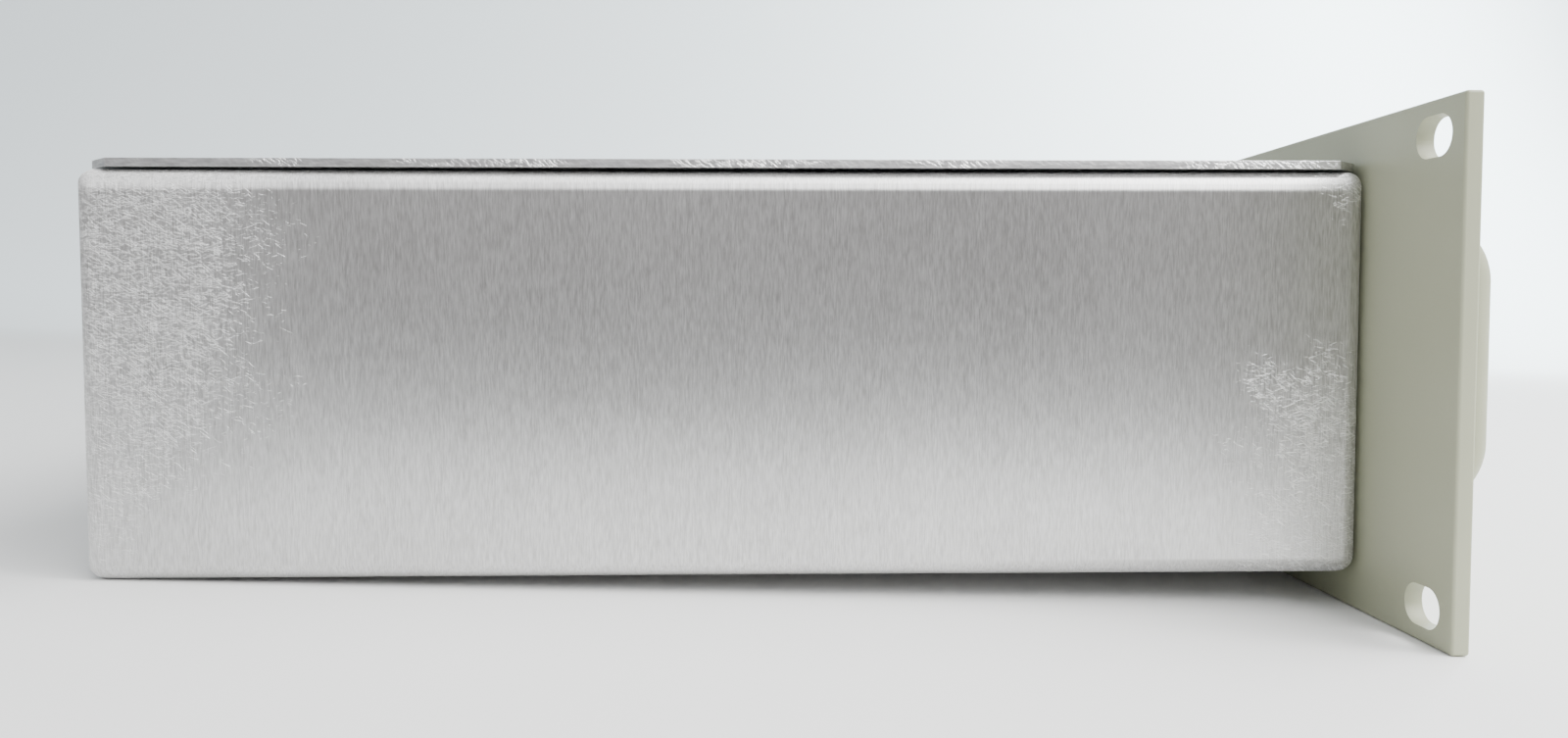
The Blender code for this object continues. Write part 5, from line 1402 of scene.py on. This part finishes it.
def main_board():
    low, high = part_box("main_board")
    board = block("laminate", low, high, BOARD, bevel=0.15 * MM, segments=1)
    holes = []
    for side in ("left", "right"):
        for level in ("lower", "upper"):
            spot = middle(f"board_standoff_{side}_{level}")
            holes.append(rod("hole", 1.7 * MM, (spot.x, spot.y, low.z - MM), (spot.x, spot.y, high.z + MM), steps=24))
    place_piece(cut(board, *holes), "chassis", "circuit_board", "main_board")
    top = high.z
    parts = []

    def spot(x, y):
        return Vector((low.x + x * MM, low.y + y * MM, top))

    for x, y, size, pins in ((40, 62, 15, 11), (68, 62, 15, 11), (96, 62, 15, 11), (40, 88, 10, 7), (60, 88, 10, 7),
                             (80, 88, 10, 7), (118, 90, 18, 13), (40, 40, 20, 15)):
        parts.append(chip(spot(x, y), (size * MM, 7.4 * MM, 2.2 * MM), pins, 1.27 * MM))
    square = spot(120, 58)
    parts.append(block("processor", square - Vector((11 * MM, 11 * MM, -0.3 * MM)),
                       square + Vector((11 * MM, 11 * MM, 2.4 * MM)), CHIP, bevel=0.4 * MM))
    ribs = [block("rib", square + Vector(((-9 + 3 * k) * MM, -9 * MM, 2.3 * MM)),
                  square + Vector(((-8 + 3 * k) * MM, 9 * MM, 9 * MM)), SHEET_PLAIN, bevel=0.2 * MM) for k in range(7)]
    parts += [block("spreader", square + Vector((-9.6 * MM, -9.6 * MM, 2.4 * MM)),
                    square + Vector((9.6 * MM, 9.6 * MM, 3.8 * MM)), SHEET_PLAIN, bevel=0.3 * MM), *ribs]
    for k, (x, y) in enumerate(((12, 40), (12, 54), (12, 68), (24, 24), (146, 40), (146, 54), (90, 24), (104, 24))):
        parts.append(can_capacitor("can", spot(x, y) + 0.2 * MM * UP, (3.2 + 0.8 * (k % 2)) * MM, (9 + 3 * (k % 3)) * MM))
    for k in range(10):
        parts.append(resistor(spot(24 + 11.5 * (k % 10), 104 + 0.0 * k) + 1.4 * MM * UP, k))
        parts.append(resistor(spot(24 + 11.5 * (k % 10), 110) + 1.4 * MM * UP, k + 1))
    parts.append(header(spot(40, 14), 10))
    parts.append(header(spot(76, 14), 5))
    parts.append(terminal_block(spot(116, 6) + 0.1 * MM * UP, 4))
    crystal = spot(96, 84)
    parts.append(block("crystal", crystal - Vector((5 * MM, 2.2 * MM, -0.2 * MM)),
                       crystal + Vector((5 * MM, 2.2 * MM, 3.4 * MM)), NICKEL, bevel=1.6 * MM, segments=5))
    place_piece(joined("board_parts", *parts), "chassis", "black_plastic")
    for side in ("left", "right"):
        for level in ("lower", "upper"):
            node = f"board_standoff_{side}_{level}"
            post_low, post_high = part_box(node)
            centre = (post_low + post_high) / 2
            start, end = Vector((centre.x, centre.y, post_low.z)), Vector((centre.x, centre.y, post_high.z))
            post = hexagon(f"{node}_fine", 2.58 * MM, start, end, UP, BRASS, 0.3 * MM)
            place_piece(post, "chassis", "tinned_brass", node)
            head = Vector((centre.x, centre.y, top + 0.1 * MM))
            dome = [(0, 1.8 * MM), (1.5 * MM, 1.7 * MM), (2.4 * MM, 1.1 * MM), (2.7 * MM, 0.2 * MM), (2.7 * MM, 0), (0, 0)]
            screw = turned(f"board_screw_{side}_{level}", dome, head, UP, ZINC, steps=32)
            screw = cut(screw, *cross_recess(head + 1.8 * MM * UP, UP, 3.0 * MM, 1.0 * MM))
            place_piece(screw, "chassis", "zinc_steel")


# ---------------------------------------------------------------- leads
def smooth_path(points, per_span):
    ends = [points[0] * 2 - points[1], *points, points[-1] * 2 - points[-2]]
    found = []
    for a, b, c, d in zip(ends, ends[1:], ends[2:], ends[3:]):
        for step in range(per_span):
            t = step / per_span
            found.append(0.5 * (2 * b + (c - a) * t + (2 * a - 5 * b + 4 * c - d) * t**2
                                + (3 * b - a - 3 * c + d) * t**3))
    return [*found, points[-1]]


def twisted_lead(node, route, bundle, colours):
    """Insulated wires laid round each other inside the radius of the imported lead."""
    centre_line = smooth_path([Vector((x, PANEL_BACK + depth, z)) for x, depth, z in route], per_span=14)
    count = len(colours)
    radius = bundle * (0.46 if count == 2 else 0.42)
    offset = bundle - radius
    strands = [[] for _ in colours]
    walked = 0.0
    side = Vector((0, 0, 1))
    for index, point in enumerate(centre_line):
        following = centre_line[min(index + 1, len(centre_line) - 1)]
        previous = centre_line[max(index - 1, 0)]
        along = (following - previous).normalized()
        side = (side - along * side.dot(along)).normalized()
        across = along.cross(side)
        walked += (point - previous).length
        for k in range(count):
            angle = walked / (bundle * 7) * 2 * math.pi + 2 * math.pi * k / count
            strands[k].append(point + (side * math.cos(angle) + across * math.sin(angle)) * offset)
    wires = [wire("strand", strand, radius, colour, sides=3) for strand, colour in zip(strands, colours)]
    place_piece(joined(f"{node}_wires", *wires), "chassis", "lead_insulation", node)


def leads():
    """Each lead as (x, depth behind the panel, z) places along its clipped route."""
    panel_z = PANEL_Z
    mains = [
        (0.140, 0.0175, panel_z), (0.141, 0.028, 0.0420), (0.150, 0.042, 0.028), (0.166, 0.062, 0.0150),
        (0.176, 0.095, 0.0125), (0.176, 0.135, 0.0125), (0.173, 0.165, 0.0150), (0.164, 0.184, 0.028),
        (0.160, 0.191, 0.0400), (0.160, 0.1965, 0.0420),
    ]
    low_voltage = [
        (0.066, 0.060, 0.0198), (0.064, 0.044, 0.0205), (0.040, 0.028, 0.0190), (0.004, 0.026, 0.0170),
        (-0.016, 0.034, 0.0215), (-0.028, 0.048, 0.0245), (-0.042, 0.062, 0.0234),
    ]
    fan_feed = [
        (0.0485, 0.212, 0.020), (0.040, 0.208, 0.0180), (0.018, 0.200, 0.0130), (-0.006, 0.188, 0.0150),
        (-0.020, 0.178, 0.0230), (-0.030, 0.168, 0.0252), (-0.040, 0.158, 0.0228),
    ]
    twisted_lead("mains_lead", mains, 2.4 * MM, (WIRE_BROWN, WIRE_BLUE, WIRE_GREEN))
    twisted_lead("supply_lead", low_voltage, 1.8 * MM, (WIRE_RED, WIRE_BLACK, WIRE_YELLOW))
    twisted_lead("fan_lead", fan_feed, 1.2 * MM, (WIRE_RED, WIRE_BLACK))


def ribbon():
    """A flat cable of 26 ridges, one of them red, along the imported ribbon's route."""
    low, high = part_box("signal_ribbon")
    insert_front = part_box("connector_insert")[0].y
    board_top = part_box("main_board")[1].z
    route = [
        (insert_front - 0.3 * MM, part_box("connector_shell")[0].z + 6.25 * MM), (PANEL_BACK + 0.206, 0.0425),
        (PANEL_BACK + 0.196, 0.036), (PANEL_BACK + 0.186, 0.0285), (PANEL_BACK + 0.176, 0.0245),
        (PANEL_BACK + 0.166, board_top + 0.8 * MM),
    ]
    line = smooth_path([Vector((0, y, z)) for y, z in route], per_span=8)
    ridges, steps = 26, 6
    pitch = (high.x - low.x) / ridges
    bm = bmesh.new()
    rings = []
    for index, point in enumerate(line):
        along = (line[min(index + 1, len(line) - 1)] - line[max(index - 1, 0)]).normalized()
        normal = Vector((1, 0, 0)).cross(along)
        ring = []
        for sign in (1, -1):
            marks = range(ridges * steps + 1)
            for k in (marks if sign > 0 else reversed(marks)):
                rise = 0.24 * MM + 0.22 * MM * abs(math.sin(math.pi * k / steps))
                ring.append(bm.verts.new(Vector((low.x + pitch * k / steps, point.y, point.z)) + normal * sign * rise))
        rings.append(ring)
    for a, b in zip(rings, rings[1:]):
        for k in range(len(a)):
            following = (k + 1) % len(a)
            bm.faces.new((a[k], a[following], b[following], b[k]))
    bm.faces.new(rings[0])
    bm.faces.new(rings[-1][::-1])
    cable = finish_mesh("ribbon_cable", bm, RIBBON, smooth_angle=60)
    cable.data.materials.append(WIRE_RED)
    for polygon in cable.data.polygons:
        if polygon.center.x < low.x + pitch:
            polygon.material_index = 1
    place_piece(cable, "chassis", "ribbon_cable", "signal_ribbon")


# ---------------------------------------------------------------- stage, camera and light
TILT = math.atan2(tub_low.z, REAR_WALL - PANEL_BACK - 2.5 * MM)


def stage():
    """A paper sweep through the panel's lower edge and the case's rear lower edge."""
    bm = bmesh.new()
    radius, start, height = 1.0, 1.1, 2.6
    profile = [(-4.0, 0.0)] + [(-4.0 + (start + 4.0) * k / 24, 0.0) for k in range(1, 25)]
    profile += [(start + radius * math.sin(a), radius * (1 - math.cos(a))) for a in
                (math.radians(90 * k / 20) for k in range(1, 21))]
    profile.append((start + radius, height))
    columns = [[bm.verts.new((x, y, z)) for x, z in profile] for y in (-3.5, -1.2, 0, 1.2, 3.5)]
    for a, b in zip(columns, columns[1:]):
        for k in range(len(profile) - 1):
            bm.faces.new((a[k], a[k + 1], b[k + 1], b[k]))
    sweep = finish_mesh("paper_sweep", bm, paper(), smooth_angle=60)
    sweep.location = (0, PANEL_BACK, -0.05 * MM)
    sweep.rotation_euler.x = TILT


def camera():
    """Level with the upper third of the left side, a hand's breadth and a half from it."""
    right = Vector((-0.02544, -0.99968, -0.00039))
    up = Vector((0.05037, -0.00168, 0.99873))
    back = Vector((-0.99841, 0.02539, 0.05040))
    data = bpy.data.cameras.new("camera")
    data.lens = 27.654
    data.sensor_width = 36.0
    data.clip_start = 0.01
    made = bpy.data.objects.new("camera", data)
    place = Vector((panel_low.x - 183.6 * MM, PANEL_BACK + 109.3 * MM, PANEL_Z + 10.6 * MM))
    turn = Matrix((right, up, back)).transposed().to_4x4()
    made.matrix_world = Matrix.Translation(place) @ turn
    bpy.context.scene.collection.objects.link(made)
    bpy.context.scene.camera = made


def area_light(name, place, target, size, power, colour=(1, 1, 1)):
    data = bpy.data.lights.new(name, "AREA")
    data.shape = "RECTANGLE"
    data.size, data.size_y = size
    data.energy = power
    data.color = colour
    made = bpy.data.objects.new(name, data)
    made.location = place
    made.rotation_euler = (Vector(target) - Vector(place)).to_track_quat("-Z", "Y").to_euler()
    bpy.context.scene.collection.objects.link(made)


def light():
    """A pale room: bright above, brightest towards -Y, and dim behind the camera near the horizon."""
    world = bpy.data.worlds.new("soft_room")
    bpy.context.scene.world = world
    world.use_nodes = True
    tree = world.node_tree
    coords = tree.nodes.new("ShaderNodeTexCoord").outputs["Generated"]
    parts = tree.nodes.new("ShaderNodeSeparateXYZ")
    tree.links.new(coords, parts.inputs[0])

    def ramp(axis, low, high):
        made = tree.nodes.new("ShaderNodeMapRange")
        made.interpolation_type = "SMOOTHSTEP"
        tree.links.new(parts.outputs[axis], made.inputs["Value"])
        made.inputs["From Min"].default_value = low
        made.inputs["From Max"].default_value = high
        return made.outputs["Result"]

    def mix(factor, a, b):
        made = tree.nodes.new("ShaderNodeMix")
        made.data_type = "RGBA"
        tree.links.new(factor, made.inputs["Factor"])
        for socket, colour in ((made.inputs[6], a), (made.inputs[7], b)):
            if isinstance(colour, tuple):
                socket.default_value = (*colour, 1)
            else:
                tree.links.new(colour, socket)
        return made.outputs[2]

    sideways = mix(ramp("Y", -0.8, 0.6), (1.4, 1.42, 1.45), (0.50, 0.51, 0.52))
    horizon = mix(ramp("X", -0.6, 0.1), (0.60, 0.585, 0.585), sideways)
    above = mix(ramp("Z", 0.12, 0.6), horizon, (1.1, 1.12, 1.15))
    background = tree.nodes["Background"]
    tree.links.new(above, background.inputs["Color"])
    background.inputs["Strength"].default_value = 1.0
    area_light("window", (-0.95, -0.80, 0.98), (-0.1, 0, 0), (1.5, 0.8), 38.0, (1.0, 0.995, 0.985))
    area_light("overhead", (-0.15, -0.75, 0.95), (0, -0.05, 0), (0.8, 0.8), 17.0)
    area_light("backdrop_light", (1.2, -1.4, 0.9), (2.0, -0.25, 0.35), (0.8, 0.8), 66.0, (0.90, 0.98, 1.0))


case_shell()
cover_plate()
panel_plate()
bow_handle("left")
bow_handle("right")
for side in ("left", "right"):
    for level in ("lower", "upper"):
        countersunk_screw(f"panel_screw_{side}_{level}", FRONT, "chassis")
        pan_head_screw(f"handle_screw_{side}_{level}", REAR, "chassis")
for name in cover_screws():
    countersunk_screw(name, UP, "cover")
switch_housing()
rocker()
lamp("power_lamp", GREEN_LENS, "green_lens")
lamp("status_lamp", AMBER_LENS, "amber_lens")
mains_inlet()
fuse_drawer()
for side in ("left", "right"):
    pan_head_screw(f"inlet_screw_{side}", REAR, "chassis")
    for level in ("lower", "upper"):
        pan_head_screw(f"fan_screw_{side}_{level}", REAR, "chassis")
fan_frame()
fan_rotor()
fan_guard()
signal_connector()
supply()
main_board()
leads()
ribbon()
stage()
camera()
light()
